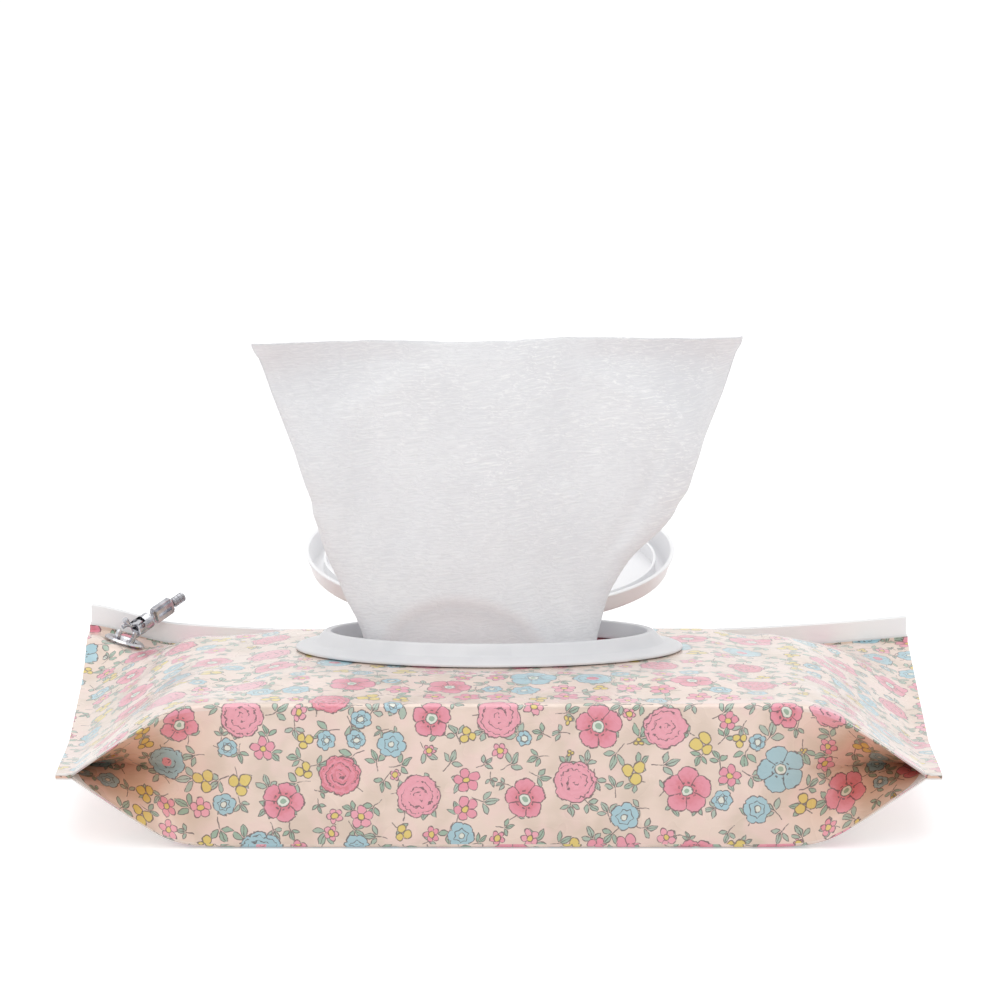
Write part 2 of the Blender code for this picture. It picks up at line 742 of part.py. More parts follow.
def build_lid(parts, cutters, material):
    """The flip lid, modelled shut around its hinge line and then turned open."""
    hinge = bpy.data.objects.new("lid_hinge", None)
    parts.objects.link(hinge)
    hinge.location = (RING_SHIFT, HINGE_Y, HINGE_Z)

    skirt_low = FLANGE_EDGE * 1.7 + 2 * GAP - HINGE_HEIGHT
    top = skirt_low + LID_HEIGHT
    under = top - LID_WALL
    rib_in = RIM_WIDTH + SEAL_RIB_SPACE
    rib_out = rib_in + SEAL_RIB
    rib_low = under - SEAL_RIB_DEPTH
    centre = -(MOUTH_DEPTH / 2 - 5 * MM)
    inside_round = LID_ROUND - LID_WALL
    sections = [(centre, under), (rib_in, under), (rib_in, rib_low), (rib_out, rib_low)]
    top_grow = LID_GROW - LID_DRAFT
    round_from = max(1 - (top_grow - LID_WALL - rib_out) / inside_round, 0)
    if round_from == 0:
        sections.append((rib_out, under))
    for index in range(4):
        start = math.asin(round_from)
        angle = start + (math.pi / 2 - start) * index / 3
        sections.append((
            top_grow - LID_WALL - inside_round * (1 - math.sin(angle)),
            under - inside_round * (1 - math.cos(angle)),
        ))
    sections += [(LID_GROW - LID_WALL, skirt_low), (LID_GROW, skirt_low)]
    for index in range(5):
        angle = math.pi / 2 * index / 4
        sections.append((
            top_grow - LID_ROUND * (1 - math.cos(angle)),
            top - LID_ROUND * (1 - math.sin(angle)),
        ))
    sections += [(centre, top)]
    loops = []
    for grow, z in sections:
        loops.append([(x - RING_SHIFT, y - HINGE_Y, z) for x, y, _ in oval(grow, 0)])
    lid = loft("lid", loops, parts)

    skirt_rear = RING_Y + MOUTH_DEPTH / 2 + LID_GROW - HINGE_Y
    leaf = add_box(
        "hinge_leaf",
        (-HINGE_WIDTH / 2, skirt_rear - LID_WALL / 2 - LID_DRAFT / 2, -HINGE_LEAF / 2),
        (HINGE_WIDTH / 2, 0, HINGE_LEAF / 2),
        cutters,
    )
    bead = add_rod(
        "hinge_bead", (-HINGE_WIDTH / 2, 0, 0), (HINGE_WIDTH / 2, 0, 0), HINGE_BEAD, cutters, 16
    )
    combine(leaf, bead, "UNION")
    hollow = loft(
        "lid_hollow",
        [
            [(x - RING_SHIFT, y - HINGE_Y, z) for x, y, _ in oval(LID_GROW - LID_WALL - 2 * SAFE, 0)]
            for z in (skirt_low - MM, under)
        ],
        cutters,
    )
    combine(leaf, hollow, "DIFFERENCE")
    combine(lid, leaf, "UNION")

    skirt_front = RING_Y - MOUTH_DEPTH / 2 - LID_GROW - HINGE_Y
    tab = add_box(
        "thumb_tab",
        (-LID_TAB_WIDTH / 2, skirt_front - LID_TAB_REACH, skirt_low + 2 * SAFE),
        (LID_TAB_WIDTH / 2, skirt_front + LID_WALL / 2, skirt_low + 2 * SAFE + LID_WALL),
        cutters,
        0.25 * MM,
    )
    combine(lid, tab, "UNION")
    finish(lid, material)
    hang_on(lid, hinge)
    hinge.rotation_euler = (-LID_OPEN, 0, 0)


# Eyelet and snap hook

def eyelet_frame():
    """The eyelet's own frame: its origin on the film, its Z along the film's normal."""
    normal = Vector((-PATCH_SLOPE_X, -PATCH_SLOPE_Y, 1)).normalized()
    centre = Vector((EYELET_X, EYELET_Y, top_height(EYELET_X, EYELET_Y)))
    turn = Vector((0, 0, 1)).rotation_difference(normal).to_matrix().to_4x4()
    return Matrix.Translation(centre) @ turn


def revolve(name, profile, parts, material, segments=26):
    """Turn a closed profile of radius and height around Z."""
    bm = bmesh.new()
    corners = [bm.verts.new((radius, 0, z)) for radius, z in profile]
    for index, corner in enumerate(corners):
        bm.edges.new((corners[index - 1], corner))
    item = add_mesh(name, bm, parts)
    screw = item.modifiers.new("turn", "SCREW")
    screw.steps = segments
    screw.render_steps = segments
    screw.use_merge_vertices = True
    screw.merge_threshold = SAFE / 100
    screw.use_normal_calculate = True
    apply_modifiers(item)
    bm = bmesh.new()
    bm.from_mesh(item.data)
    bmesh.ops.recalc_face_normals(bm, faces=bm.faces)
    bm.to_mesh(item.data)
    bm.free()
    finish(item, material)
    return item


def build_eyelet(parts, materials):
    """A rolled eyelet through the welded corner and the washer that it is clenched over."""
    place = eyelet_frame()
    barrel = EYELET_HOLE + EYELET_WALL
    washer_top = -PATCH_THICKNESS - EYELET_SEAT
    washer_low = washer_top - WASHER_THICKNESS
    lip = washer_low - GAP
    seat = EYELET_SEAT
    roll_top = seat + EYELET_ROLL
    profile = [
        (barrel, seat), (EYELET_FLANGE - 2 * SAFE, seat), (EYELET_FLANGE, seat + EYELET_ROLL * 0.4),
        (EYELET_FLANGE - EYELET_ROLL * 0.7, roll_top),
        (EYELET_HOLE + EYELET_ROLL, roll_top), (EYELET_HOLE + EYELET_ROLL * 0.3, seat + EYELET_ROLL * 0.5),
        (EYELET_HOLE, 0), (EYELET_HOLE, lip - 4 * SAFE),
        (barrel + 7 * SAFE, lip - 4 * SAFE), (barrel + 7 * SAFE, lip), (barrel, lip),
    ]
    eyelet = revolve("eyelet", profile, parts, materials["chrome"])
    eyelet.matrix_world = place
    washer_profile = [
        (barrel + GAP, washer_low), (WASHER_RADIUS, washer_low),
        (WASHER_RADIUS, washer_top), (barrel + GAP, washer_top),
    ]
    washer = revolve("eyelet_washer", washer_profile, parts, materials["chrome"])
    washer.matrix_world = place


def hook_frame():
    """The hook's own frame: X along the hook, Y along the swing axis, origin in the claw."""
    place = eyelet_frame()
    normal = place.to_3x3() @ Vector((0, 0, 1))
    origin = place.translation + normal * CLAW_LIFT
    along = HOOK_DIRECTION.normalized()
    side = normal.cross(along).normalized()
    up = along.cross(side).normalized()
    frame = Matrix((along, side, up)).transposed().to_4x4()
    return Matrix.Translation(origin) @ frame


def tube(name, points, radius, collection, sides=3):
    """A curve tube through points with filled ends, turned into a mesh."""
    curve = bpy.data.curves.new(name, "CURVE")
    curve.dimensions = "3D"
    curve.bevel_depth = radius
    curve.bevel_resolution = sides
    curve.use_fill_caps = True
    spline = curve.splines.new("POLY")
    spline.points.add(len(points) - 1)
    for target, point in zip(spline.points, points):
        target.co = (*point, 1)
    item = bpy.data.objects.new(name, curve)
    collection.objects.link(item)
    graph = bpy.context.evaluated_depsgraph_get()
    mesh = bpy.data.meshes.new_from_object(item.evaluated_get(graph))
    bpy.data.objects.remove(item, do_unlink=True)
    bm = bmesh.new()
    bm.from_mesh(mesh)
    bmesh.ops.remove_doubles(bm, verts=bm.verts, dist=SAFE / 100)
    bpy.data.meshes.remove(mesh)
    return add_mesh(name, bm, collection)


def arc(radius, start, end, steps, y=0.0):
    """Points on an arc in the hook's own XZ plane."""
    points = []
    for index in range(steps + 1):
        angle = start + (end - start) * index / steps
        points.append((radius * math.cos(angle), y, radius * math.sin(angle)))
    return points


def build_hook(parts, cutters, materials):
    """The snap hook: claw body, sprung trigger and a swivelling strap loop."""
    frame = bpy.data.objects.new("hook_swing", None)
    parts.objects.link(frame)
    frame.matrix_world = hook_frame()

    body = add_rod(
        "hook_body", (BODY_START, 0, 0), (BODY_END, 0, 0), BODY_RADIUS, parts, 22
    )
    round_ends(body, 0.4 * MM)
    claw_end = CLAW_MOUTH_END - 2 * math.pi
    claw = tube("claw", arc(CLAW_RADIUS, math.radians(-14), claw_end, 20), CLAW_WIRE, cutters, 2)
    combine(body, claw, "UNION")
    slot_half = TRIGGER_WIDTH / 2 + GAP
    hub_space = HUB_RADIUS + GAP
    slot = add_box(
        "trigger_slot",
        (0, -slot_half, -GAP),
        (PIN_ALONG + hub_space, slot_half, BODY_RADIUS + MM),
        cutters,
    )
    combine(body, slot, "DIFFERENCE")
    pin_hole = add_rod(
        "pin_hole", (PIN_ALONG, -BODY_RADIUS - MM, PIN_UP), (PIN_ALONG, BODY_RADIUS + MM, PIN_UP),
        PIN_RADIUS + GAP / 2, cutters, 16,
    )
    combine(body, pin_hole, "DIFFERENCE")
    chamber_end = BODY_END - END_WALL
    chamber_start = chamber_end - POST_HEAD_LENGTH - 2 * GAP
    chamber = add_rod(
        "post_chamber", (chamber_start, 0, 0), (chamber_end, 0, 0), POST_HEAD + GAP, cutters, 20
    )
    combine(body, chamber, "DIFFERENCE")
    bore = add_rod(
        "post_bore", (chamber_end - SAFE, 0, 0), (BODY_END + MM, 0, 0), POST_RADIUS + GAP, cutters, 20
    )
    combine(body, bore, "DIFFERENCE")
    finish(body, materials["chrome"])
    hang_on(body, frame)

    build_trigger(parts, cutters, materials, frame)
    build_strap_loop(parts, cutters, materials, frame)


def round_ends(item, offset):
    """Bevel the end edges of a rod."""
    modifier = item.modifiers.new("round", "BEVEL")
    modifier.width = offset
    modifier.segments = 2
    modifier.limit_method = "ANGLE"
    modifier.angle_limit = math.radians(50)
    apply_modifiers(item)


def build_trigger(parts, cutters, materials, frame):
    """The trigger on its pin, with a torsion spring beside its hub."""
    pivot = bpy.data.objects.new("trigger_pivot", None)
    parts.objects.link(pivot)
    pivot.parent = frame
    pivot.location = (PIN_ALONG, 0, PIN_UP)
    shift = Vector((PIN_ALONG, 0, PIN_UP))

    hub_half = TRIGGER_WIDTH / 2
    spring_length = SPRING_TURNS * SPRING_PITCH + 2 * SPRING_WIRE
    hub_end = hub_half - spring_length - GAP
    trigger = add_rod("hook_trigger", (0, -hub_half, 0), (0, hub_end, 0), HUB_RADIUS, parts, 20)
    lever_start = CLAW_MOUTH_START
    lever_end = CLAW_MOUTH_END - TRIGGER_SHORT
    lever_points = [Vector(point) - shift for point in arc(CLAW_RADIUS, lever_start, lever_end, 8)]
    lever = tube("lever", [Vector((0, 0, 0))] + lever_points, CLAW_WIRE * 0.85, cutters)
    combine(trigger, lever, "UNION")
    knob_foot = Vector(arc(CLAW_RADIUS, math.radians(52), math.radians(52), 1)[0]) - shift
    knob_tip = knob_foot + Vector((-0.9 * MM, 0, 2.4 * MM))
    knob = add_rod("knob", knob_foot, knob_tip, 0.6 * MM, cutters, 14, 0.9 * MM)
    combine(trigger, knob, "UNION")
    spring_room = SPRING_RADIUS + SPRING_WIRE + GAP
    room = add_rod("spring_room", (0, hub_end, 0), (0, hub_half + MM, 0), spring_room, cutters, 20)
    combine(trigger, room, "DIFFERENCE")
    pin_room = add_rod(
        "pin_room", (0, -hub_half - MM, 0), (0, hub_half + MM, 0), PIN_RADIUS + GAP / 2, cutters, 16
    )
    combine(trigger, pin_room, "DIFFERENCE")
    finish(trigger, materials["chrome"])
    hang_on(trigger, pivot)

    pin_half = BODY_RADIUS - 0.3 * MM
    pin = add_rod("trigger_pin", (0, -pin_half, 0), (0, pin_half, 0), PIN_RADIUS, parts, 16)
    pin.data.transform(Matrix.Translation(shift))
    finish(pin, materials["steel"])
    hang_on(pin, frame)

    points = []
    steps = SPRING_TURNS * 10
    for index in range(steps + 1):
        angle = 2 * math.pi * index / 10
        y = hub_half - SPRING_WIRE - SPRING_TURNS * SPRING_PITCH * index / steps
        points.append((SPRING_RADIUS * math.cos(angle), y, SPRING_RADIUS * math.sin(angle)))
    spring = tube("trigger_spring", points, SPRING_WIRE, parts, 0)
    spring.data.transform(Matrix.Translation(shift))
    finish(spring, materials["steel"])
    hang_on(spring, frame)


def build_strap_loop(parts, cutters, materials, frame):
    """The loop for a strap, on a headed post that turns in the hook body."""
    swivel = bpy.data.objects.new("strap_swivel", None)
    parts.objects.link(swivel)
    swivel.parent = frame
    swivel.location = (BODY_END, 0, 0)

    head_end = -END_WALL - GAP
    loop_start = SWIVEL_GAP
    loop_end = loop_start + LOOP_LENGTH
    plate = add_box(
        "strap_loop",
        (loop_start, -LOOP_THICKNESS / 2, -LOOP_HEIGHT / 2),
        (loop_end, LOOP_THICKNESS / 2, LOOP_HEIGHT / 2),
        parts,
        0.7 * MM,
    )
    slot = add_box(
        "strap_slot",
        (loop_start + LOOP_END_WALL, -LOOP_THICKNESS, -LOOP_SLOT / 2),
        (loop_end - LOOP_END_WALL, LOOP_THICKNESS, LOOP_SLOT / 2),
        cutters,
    )
    combine(plate, slot, "DIFFERENCE")
    post = add_rod("post", (head_end - SAFE, 0, 0), (loop_start + SAFE, 0, 0), POST_RADIUS, cutters, 20)
    head = add_rod("head", (head_end - POST_HEAD_LENGTH, 0, 0), (head_end, 0, 0), POST_HEAD, cutters, 20)
    combine(post, head, "UNION")
    combine(plate, post, "UNION")
    pin_end = loop_end + FERRULE_LENGTH * 0.6
    pin = add_rod("ferrule_pin", (loop_end - SAFE, 0, 0), (pin_end, 0, 0), FERRULE_PIN, cutters, 16)
    combine(plate, pin, "UNION")
    finish(plate, materials["chrome"])
    hang_on(plate, swivel)

    room = FERRULE_PIN + GAP / 2
    room_end = pin_end - loop_end
    edge = 0.35 * MM
    outline = [(room, 0), (FERRULE_RADIUS - edge, 0), (FERRULE_RADIUS, edge)]
    pitch = (FERRULE_LENGTH - 2 * edge) / FERRULE_GROOVES
    for index in range(FERRULE_GROOVES):
        middle = edge + pitch * (index + 0.5)
        outline += [
            (FERRULE_RADIUS, middle - FERRULE_GROOVE),
            (FERRULE_RADIUS - FERRULE_GROOVE, middle),
            (FERRULE_RADIUS, middle + FERRULE_GROOVE),
        ]
    outline += [(FERRULE_RADIUS, FERRULE_LENGTH - edge), (FERRULE_RADIUS - edge, FERRULE_LENGTH)]
    outline += [(SAFE, FERRULE_LENGTH), (SAFE, room_end), (room, room_end)]
    ferrule = revolve("loop_ferrule", outline, parts, materials["steel"], 14)
    lay = Matrix.Rotation(math.pi / 2, 4, "Y")
    ferrule.data.transform(Matrix.Translation((loop_end + GAP, 0, 0)) @ lay)
    hang_on(ferrule, swivel)


def centre_base(parts):
    """Hang every root object on one parent, which puts the base's centre on the origin."""
    origin = bpy.data.objects.new("pouch_origin", None)
    for item in list(parts.objects):
        if item.parent is None:
            hang_on(item, origin)
    parts.objects.link(origin)
    origin.location = (0, -BASE_CENTRE_Y, 0)


def make_materials():
    """Every material, with the photo's colour, roughness and metallic value."""
    return {
        "film": new_material("printed_film", (0.80, 0.64, 0.57), 0.3),
        "zip": new_material("zip_plastic", (0.90, 0.91, 0.92), 0.35),
        "lid": new_material("lid_plastic", (0.93, 0.94, 0.95), 0.28),
        "wipe": new_material("wipe_cloth", (0.93, 0.93, 0.94), 0.85),
        "chrome": new_material("chrome", (0.80, 0.80, 0.82), 0.14, 1.0),
        "steel": new_material("steel", (0.55, 0.55, 0.57), 0.3, 1.0),
    }


def main():
    """Build the whole part."""
    clear_scene()
    parts = new_collection("wet_wipes_pouch")
    cutters = new_collection("cutters")
    cutters.hide_render = True
    materials = make_materials()
    build_pouch_film(parts, cutters, materials["film"])
    build_zip(parts, materials)
    build_stack(parts, materials["wipe"])
    build_pulled_wipe(parts, materials["wipe"])
    build_lid_base(parts, cutters, materials["lid"])
    build_lid(parts, cutters, materials["lid"])
    build_eyelet(parts, materials)
    build_hook(parts, cutters, materials)
    centre_base(parts)


main()
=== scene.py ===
"""Looks of the wet wipes pouch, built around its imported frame.

Lengths are metres. The pouch lies flat, its width along X and its zip at the rear, +Y.
"""

import logging
import math
from dataclasses import dataclass, field
from enum import Enum
from typing import Callable

import bmesh
import bpy
from mathutils import Matrix, Vector, noise


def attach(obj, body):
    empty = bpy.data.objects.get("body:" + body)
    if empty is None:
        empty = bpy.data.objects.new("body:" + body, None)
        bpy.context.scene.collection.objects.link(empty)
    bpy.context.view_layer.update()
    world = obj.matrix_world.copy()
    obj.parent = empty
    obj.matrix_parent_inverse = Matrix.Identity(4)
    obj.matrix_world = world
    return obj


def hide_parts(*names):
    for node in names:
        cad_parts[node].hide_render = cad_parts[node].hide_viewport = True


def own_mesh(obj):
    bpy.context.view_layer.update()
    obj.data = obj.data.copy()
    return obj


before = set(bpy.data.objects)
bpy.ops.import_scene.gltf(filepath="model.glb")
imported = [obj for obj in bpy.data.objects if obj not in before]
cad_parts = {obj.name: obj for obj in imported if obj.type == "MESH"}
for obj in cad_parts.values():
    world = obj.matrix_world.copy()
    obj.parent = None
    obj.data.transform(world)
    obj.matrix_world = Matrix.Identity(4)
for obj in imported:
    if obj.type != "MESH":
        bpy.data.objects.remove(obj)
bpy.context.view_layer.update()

log = logging.getLogger("pouch")

MM = 0.001
Point = tuple[float, float, float]
Number = "Value | float"


# Shader maths

class Value:
    """A number that varies over a surface, with Python's operators as Math nodes."""

    def __init__(self, graph: "Graph", socket: bpy.types.NodeSocket) -> None:
        """Wrap an output socket of a graph."""
        self.graph = graph
        self.socket = socket

    def _with(self, operation: str, first: Number, second: Number) -> "Value":
        """Add one Math node of two inputs."""
        return self.graph.math(operation, first, second)

    def __add__(self, other: Number) -> "Value":
        """Sum."""
        return self._with("ADD", self, other)

    __radd__ = __add__

    def __sub__(self, other: Number) -> "Value":
        """Difference."""
        return self._with("SUBTRACT", self, other)

    def __rsub__(self, other: Number) -> "Value":
        """Difference from a number."""
        return self._with("SUBTRACT", other, self)

    def __mul__(self, other: Number) -> "Value":
        """Product."""
        return self._with("MULTIPLY", self, other)

    __rmul__ = __mul__

    def __truediv__(self, other: Number) -> "Value":
        """Quotient."""
        return self._with("DIVIDE", self, other)

    def __rtruediv__(self, other: Number) -> "Value":
        """Quotient of a number."""
        return self._with("DIVIDE", other, self)

    def __pow__(self, other: Number) -> "Value":
        """Power."""
        return self._with("POWER", self, other)

    def __mod__(self, other: Number) -> "Value":
        """Remainder, never negative."""
        return self._with("FLOORED_MODULO", self, other)

    def __abs__(self) -> "Value":
        """Size without sign."""
        return self.graph.math("ABSOLUTE", self)

    def __gt__(self, other: Number) -> "Value":
        """1 where this is greater, else 0."""
        return self._with("GREATER_THAN", self, other)

    def __lt__(self, other: Number) -> "Value":
        """1 where this is less, else 0."""
        return self._with("LESS_THAN", self, other)

    def least(self, other: Number) -> "Value":
        """The smaller of two."""
        return self._with("MINIMUM", self, other)

    def most(self, other: Number) -> "Value":
        """The larger of two."""
        return self._with("MAXIMUM", self, other)

    def sine(self) -> "Value":
        """Sine of an angle."""
        return self.graph.math("SINE", self)

    def cosine(self) -> "Value":
        """Cosine of an angle."""
        return self.graph.math("COSINE", self)

    def ramp(self, low: float, high: float) -> "Value":
        """A smooth step from 0 at low to 1 at high."""
        node = self.graph.node(
            "ShaderNodeMapRange",
            {"interpolation_type": "SMOOTHSTEP", "clamp": True},
            {"Value": self, "From Min": low, "From Max": high},
        )
        return Value(self.graph, node.outputs["Result"])


class Graph:
    """The node tree of one material, with one way to add any node."""

    def __init__(self, name: str) -> None:
        """Create the material with its Principled shader."""
        self.material = bpy.data.materials.new(name)
        self.material.use_nodes = True
        self.tree = self.material.node_tree
        self.shader = self.tree.nodes["Principled BSDF"]

    @classmethod
    def of_tree(cls, tree: bpy.types.NodeTree) -> "Graph":
        """Wrap the tree of a world, which has no Principled shader."""
        graph = cls.__new__(cls)
        graph.tree = tree
        return graph

    def node(self, kind: str, settings: dict | None = None, inputs: dict | None = None) -> bpy.types.Node:
        """Add a node.

        Args:
            kind: The node's type name.
            settings: Its own settings, which are set first.
            inputs: Values or links of its sockets, by name or number.

        Returns:
            The new node.
        """
        node = self.tree.nodes.new(kind)
        for key, setting in (settings or {}).items():
            setattr(node, key, setting)
        for key, given in (inputs or {}).items():
            self.feed(node.inputs[key], given)
        return node

    def feed(self, target: bpy.types.NodeSocket, given: object) -> None:
        """Link a socket to an input, or set the input's own value."""
        if isinstance(given, Value):
            given = given.socket
        if isinstance(given, bpy.types.NodeSocket):
            self.tree.links.new(given, target)
        else:
            target.default_value = given

    def math(self, operation: str, *values: Number) -> Value:
        """Add a Math node."""
        node = self.node("ShaderNodeMath", {"operation": operation}, dict(enumerate(values)))
        return Value(self, node.outputs[0])

    def vector(self, operation: str, *values: object, scale: float | None = None) -> bpy.types.NodeSocket:
        """Add a Vector Math node and return its vector."""
        inputs = dict(enumerate(values))
        if scale is not None:
            inputs["Scale"] = scale
        return self.node("ShaderNodeVectorMath", {"operation": operation}, inputs).outputs[0]

    def mix(self, share: Number, first: object, second: object, blend: str = "MIX") -> bpy.types.NodeSocket:
        """Mix two colours by a share."""
        settings = {"data_type": "RGBA", "blend_type": blend, "clamp_factor": True}
        node = self.node("ShaderNodeMix", settings, {0: share, 6: first, 7: second})
        return node.outputs[2]

    def parts(self, vector: bpy.types.NodeSocket) -> tuple[Value, Value, Value]:
        """Split a vector into its three numbers."""
        node = self.node("ShaderNodeSeparateXYZ", None, {0: vector})
        return tuple(Value(self, output) for output in node.outputs)

    def joined(self, x: Number, y: Number, z: Number = 0.0) -> bpy.types.NodeSocket:
        """Make a vector of three numbers."""
        return self.node("ShaderNodeCombineXYZ", None, {0: x, 1: y, 2: z}).outputs[0]

    def place(self) -> bpy.types.NodeSocket:
        """The surface point in the object's own metres."""
        return self.node("ShaderNodeTexCoord").outputs["Object"]

    def sheet_place(self, name: str) -> bpy.types.NodeSocket:
        """The point on a flat sheet, in metres, from a named map."""
        return self.node("ShaderNodeUVMap", {"uv_map": name}).outputs["UV"]

    def noise(self, vector: object, scale: float, detail: float = 2.0, roughness: float = 0.5) -> Value:
        """Fractal noise between 0 and 1."""
        inputs = {"Vector": vector, "Scale": scale, "Detail": detail, "Roughness": roughness}
        return Value(self, self.node("ShaderNodeTexNoise", None, inputs).outputs[0])

    def bump(
        self, height: Value, distance: float, strength: float, under: object = None
    ) -> bpy.types.NodeSocket:
        """A Bump node over a height."""
        inputs = {"Height": height, "Distance": distance, "Strength": strength}
        if under is not None:
            inputs["Normal"] = under
        return self.node("ShaderNodeBump", None, inputs).outputs["Normal"]

    def set(self, **inputs: object) -> None:
        """Set or link sockets of the Principled shader, with _ for a blank in a name."""
        for key, given in inputs.items():
            self.feed(self.shader.inputs[key.replace("_", " ")], given)


def srgb(red: int, green: int, blue: int) -> tuple[float, float, float, float]:
    """Turn an 8-bit screen colour into the linear colour that a shader takes."""
    linear = []
    for channel in (red, green, blue):
        share = channel / 255
        linear.append(share / 12.92 if share <= 0.04045 else ((share + 0.055) / 1.055) ** 2.4)
    return (*linear, 1.0)


# Finishes

class Slot(Enum):
    """The record's material slots."""

    FILM = "printed_film"
    ZIP = "zip_plastic"
    LID = "lid_plastic"
    WIPE = "wipe_cloth"
    CHROME = "chrome"
    STEEL = "steel"


@dataclass(frozen=True)
class Cell:
    """One layer of motif cells: local place in millimetres, room around the centre and chance values."""

    x: Value
    y: Value
    room: Value
    centre: bpy.types.NodeSocket
    kind: Value
    turn: Value
    tone: Value


@dataclass(frozen=True)
class FloralPrint:
    """A generic scattered floral: large blooms, small blossoms and berries, and leaf sprigs."""

    ground: tuple = srgb(238, 217, 203)
    shaded: tuple = srgb(215, 196, 178)
    blush: tuple = srgb(243, 213, 206)
    ink: tuple = srgb(86, 72, 72)
    pink: tuple = srgb(233, 148, 166)
    rose: tuple = srgb(241, 172, 186)
    deep: tuple = srgb(220, 124, 138)
    blue: tuple = srgb(166, 202, 212)
    yellow: tuple = srgb(228, 204, 112)
    leaf: tuple = srgb(152, 180, 158)
    pale: tuple = srgb(226, 230, 218)
    bloom_pitch: float = 22.5
    bloom_chance: float = 0.55
    bloom_shift: float = 3.1
    bloom_radius: float = 6.5
    heart_radius: float = 1.55
    eye_radius: float = 0.75
    blossom_pitch: float = 9.0
    blossom_chance: float = 0.55
    blossom_shift: float = 7.3
    blossom_radius: float = 3.9
    blossom_heart: float = 0.85
    sprig_pitch: float = 7.2
    sprig_chance: float = 0.6
    sprig_shift: float = 1.9
    line: float = 0.17

    @staticmethod
    def offset(shift: float) -> Point:
        """How far a layer of cells is moved, so that no two layers line up."""
        return (shift, shift * 1.7, 0.0)

    def cell(self, graph: Graph, point: object, pitch: float, chance: float, shift: float) -> Cell:
        """Divide the sheet into cells around scattered centres."""
        scaled = graph.vector("SCALE", point, scale=1 / pitch)
        moved = graph.vector("ADD", scaled, self.offset(shift))
        inputs = {"Vector": moved, "Scale": 1.0, "Randomness": chance}
        near = graph.node("ShaderNodeTexVoronoi", {"voronoi_dimensions": "2D"}, inputs)
        settings = {"voronoi_dimensions": "2D", "feature": "N_SPHERE_RADIUS"}
        room = graph.node("ShaderNodeTexVoronoi", settings, inputs)
        away = graph.vector("SUBTRACT", moved, near.outputs["Position"])
        x, y, _ = graph.parts(graph.vector("SCALE", away, scale=pitch))
        back = graph.vector("SUBTRACT", near.outputs["Position"], self.offset(shift))
        chances = graph.node("ShaderNodeSeparateColor", None, {0: near.outputs["Color"]}).outputs
        kind, turn, tone = (Value(graph, output) for output in chances)
        return Cell(x, y, Value(graph, room.outputs["Radius"]) * pitch,
                    graph.vector("SCALE", back, scale=pitch), kind, turn, tone)

    def polar(self, graph: Graph, cell: Cell) -> tuple[Value, Value, Value, Value]:
        """Turn a cell's local place by its chance angle.

        Returns:
            Radius, angle, and the turned x and y.
        """
        angle = cell.turn * (2 * math.pi)
        cosine, sine = angle.cosine(), angle.sine()
        x = cell.x * cosine + cell.y * sine
        y = cell.y * cosine - cell.x * sine
        radius = graph.math("SQRT", x * x + y * y)
        return radius, graph.math("ARCTAN2", y, x), x, y

    def stroke(self, distance: Value, width: float) -> Value:
        """1 on a line, from the distance to it."""
        return 1 - abs(distance).ramp(width * 0.6, width * 1.3)

    def paint(self, graph: Graph, point: object) -> tuple[bpy.types.NodeSocket, Value]:
        """Build the whole print.

        Args:
            graph: The material's graph.
            point: The place on the flat sheet in millimetres.

        Returns:
            The colour and the share of ink at the point.
        """
        point = self.drawn_by_hand(graph, point)
        wobble = graph.noise(point, 0.9, 1.0) - 0.5
        uneven = graph.noise(point, 0.075, 2.0)
        flushed = graph.noise(graph.vector("ADD", point, (37.0, 11.0, 0.0)), 0.1, 2.0)
        colour = graph.mix(uneven.ramp(0.4, 0.66) * 0.7, self.ground, self.shaded)
        colour = graph.mix(flushed.ramp(0.46, 0.66) * 0.55, colour, self.blush)
        bloom = self.cell(graph, point, self.bloom_pitch, self.bloom_chance, self.bloom_shift)
        blossom = self.cell(graph, point, self.blossom_pitch, self.blossom_chance, self.blossom_shift)
        sprig = self.cell(graph, point, self.sprig_pitch, self.sprig_chance, self.sprig_shift)
        around = graph.vector("SCALE", blossom.centre, scale=1 / self.bloom_pitch)
        around = graph.vector("ADD", around, self.offset(self.bloom_shift))
        inputs = {"Vector": around, "Scale": 1.0, "Randomness": self.bloom_chance}
        far = graph.node("ShaderNodeTexVoronoi", {"voronoi_dimensions": "2D"}, inputs)
        gap = Value(graph, far.outputs["Distance"]) * self.bloom_pitch - self.bloom_radius - 0.5

        bloom_edge, bloom_fill, bloom_line = self.blooms(graph, bloom, wobble)
        small_edge, small_fill, small_line = self.blossoms(graph, blossom, gap, wobble)
        free = bloom_edge.ramp(-0.12, -0.2) * small_edge.ramp(-0.12, -0.2)
        leaf_fill, leaf_line = self.sprigs(graph, sprig, wobble)

        colour = graph.mix(leaf_fill * free, colour, self.leaf_tone(graph, sprig))
        inked = leaf_line * free
        colour = graph.mix(small_edge.ramp(-0.05, 0.05), colour, small_fill)
        inked = inked.most(small_line)
        colour = graph.mix(bloom_edge.ramp(-0.05, 0.05), colour, bloom_fill)
        inked = inked.most(bloom_line)
        worn = graph.noise(point, 1.3, 2.0).ramp(0.3, 0.5) * 0.55 + 0.32
        return graph.mix(inked * worn, colour, self.ink), inked

    def drawn_by_hand(self, graph: Graph, point: object) -> bpy.types.NodeSocket:
        """Shift the drawing a little, so that no two motifs are quite the same."""
        for scale, reach in ((0.22, 1.5), (0.75, 0.45)):
            inputs = {"Vector": point, "Scale": scale, "Detail": 1.0}
            drift = graph.node("ShaderNodeTexNoise", None, inputs).outputs["Color"]
            drift = graph.vector("SUBTRACT", drift, (0.5, 0.5, 0.5))
            point = graph.vector("ADD", point, graph.vector("SCALE", drift, scale=reach))
        return point

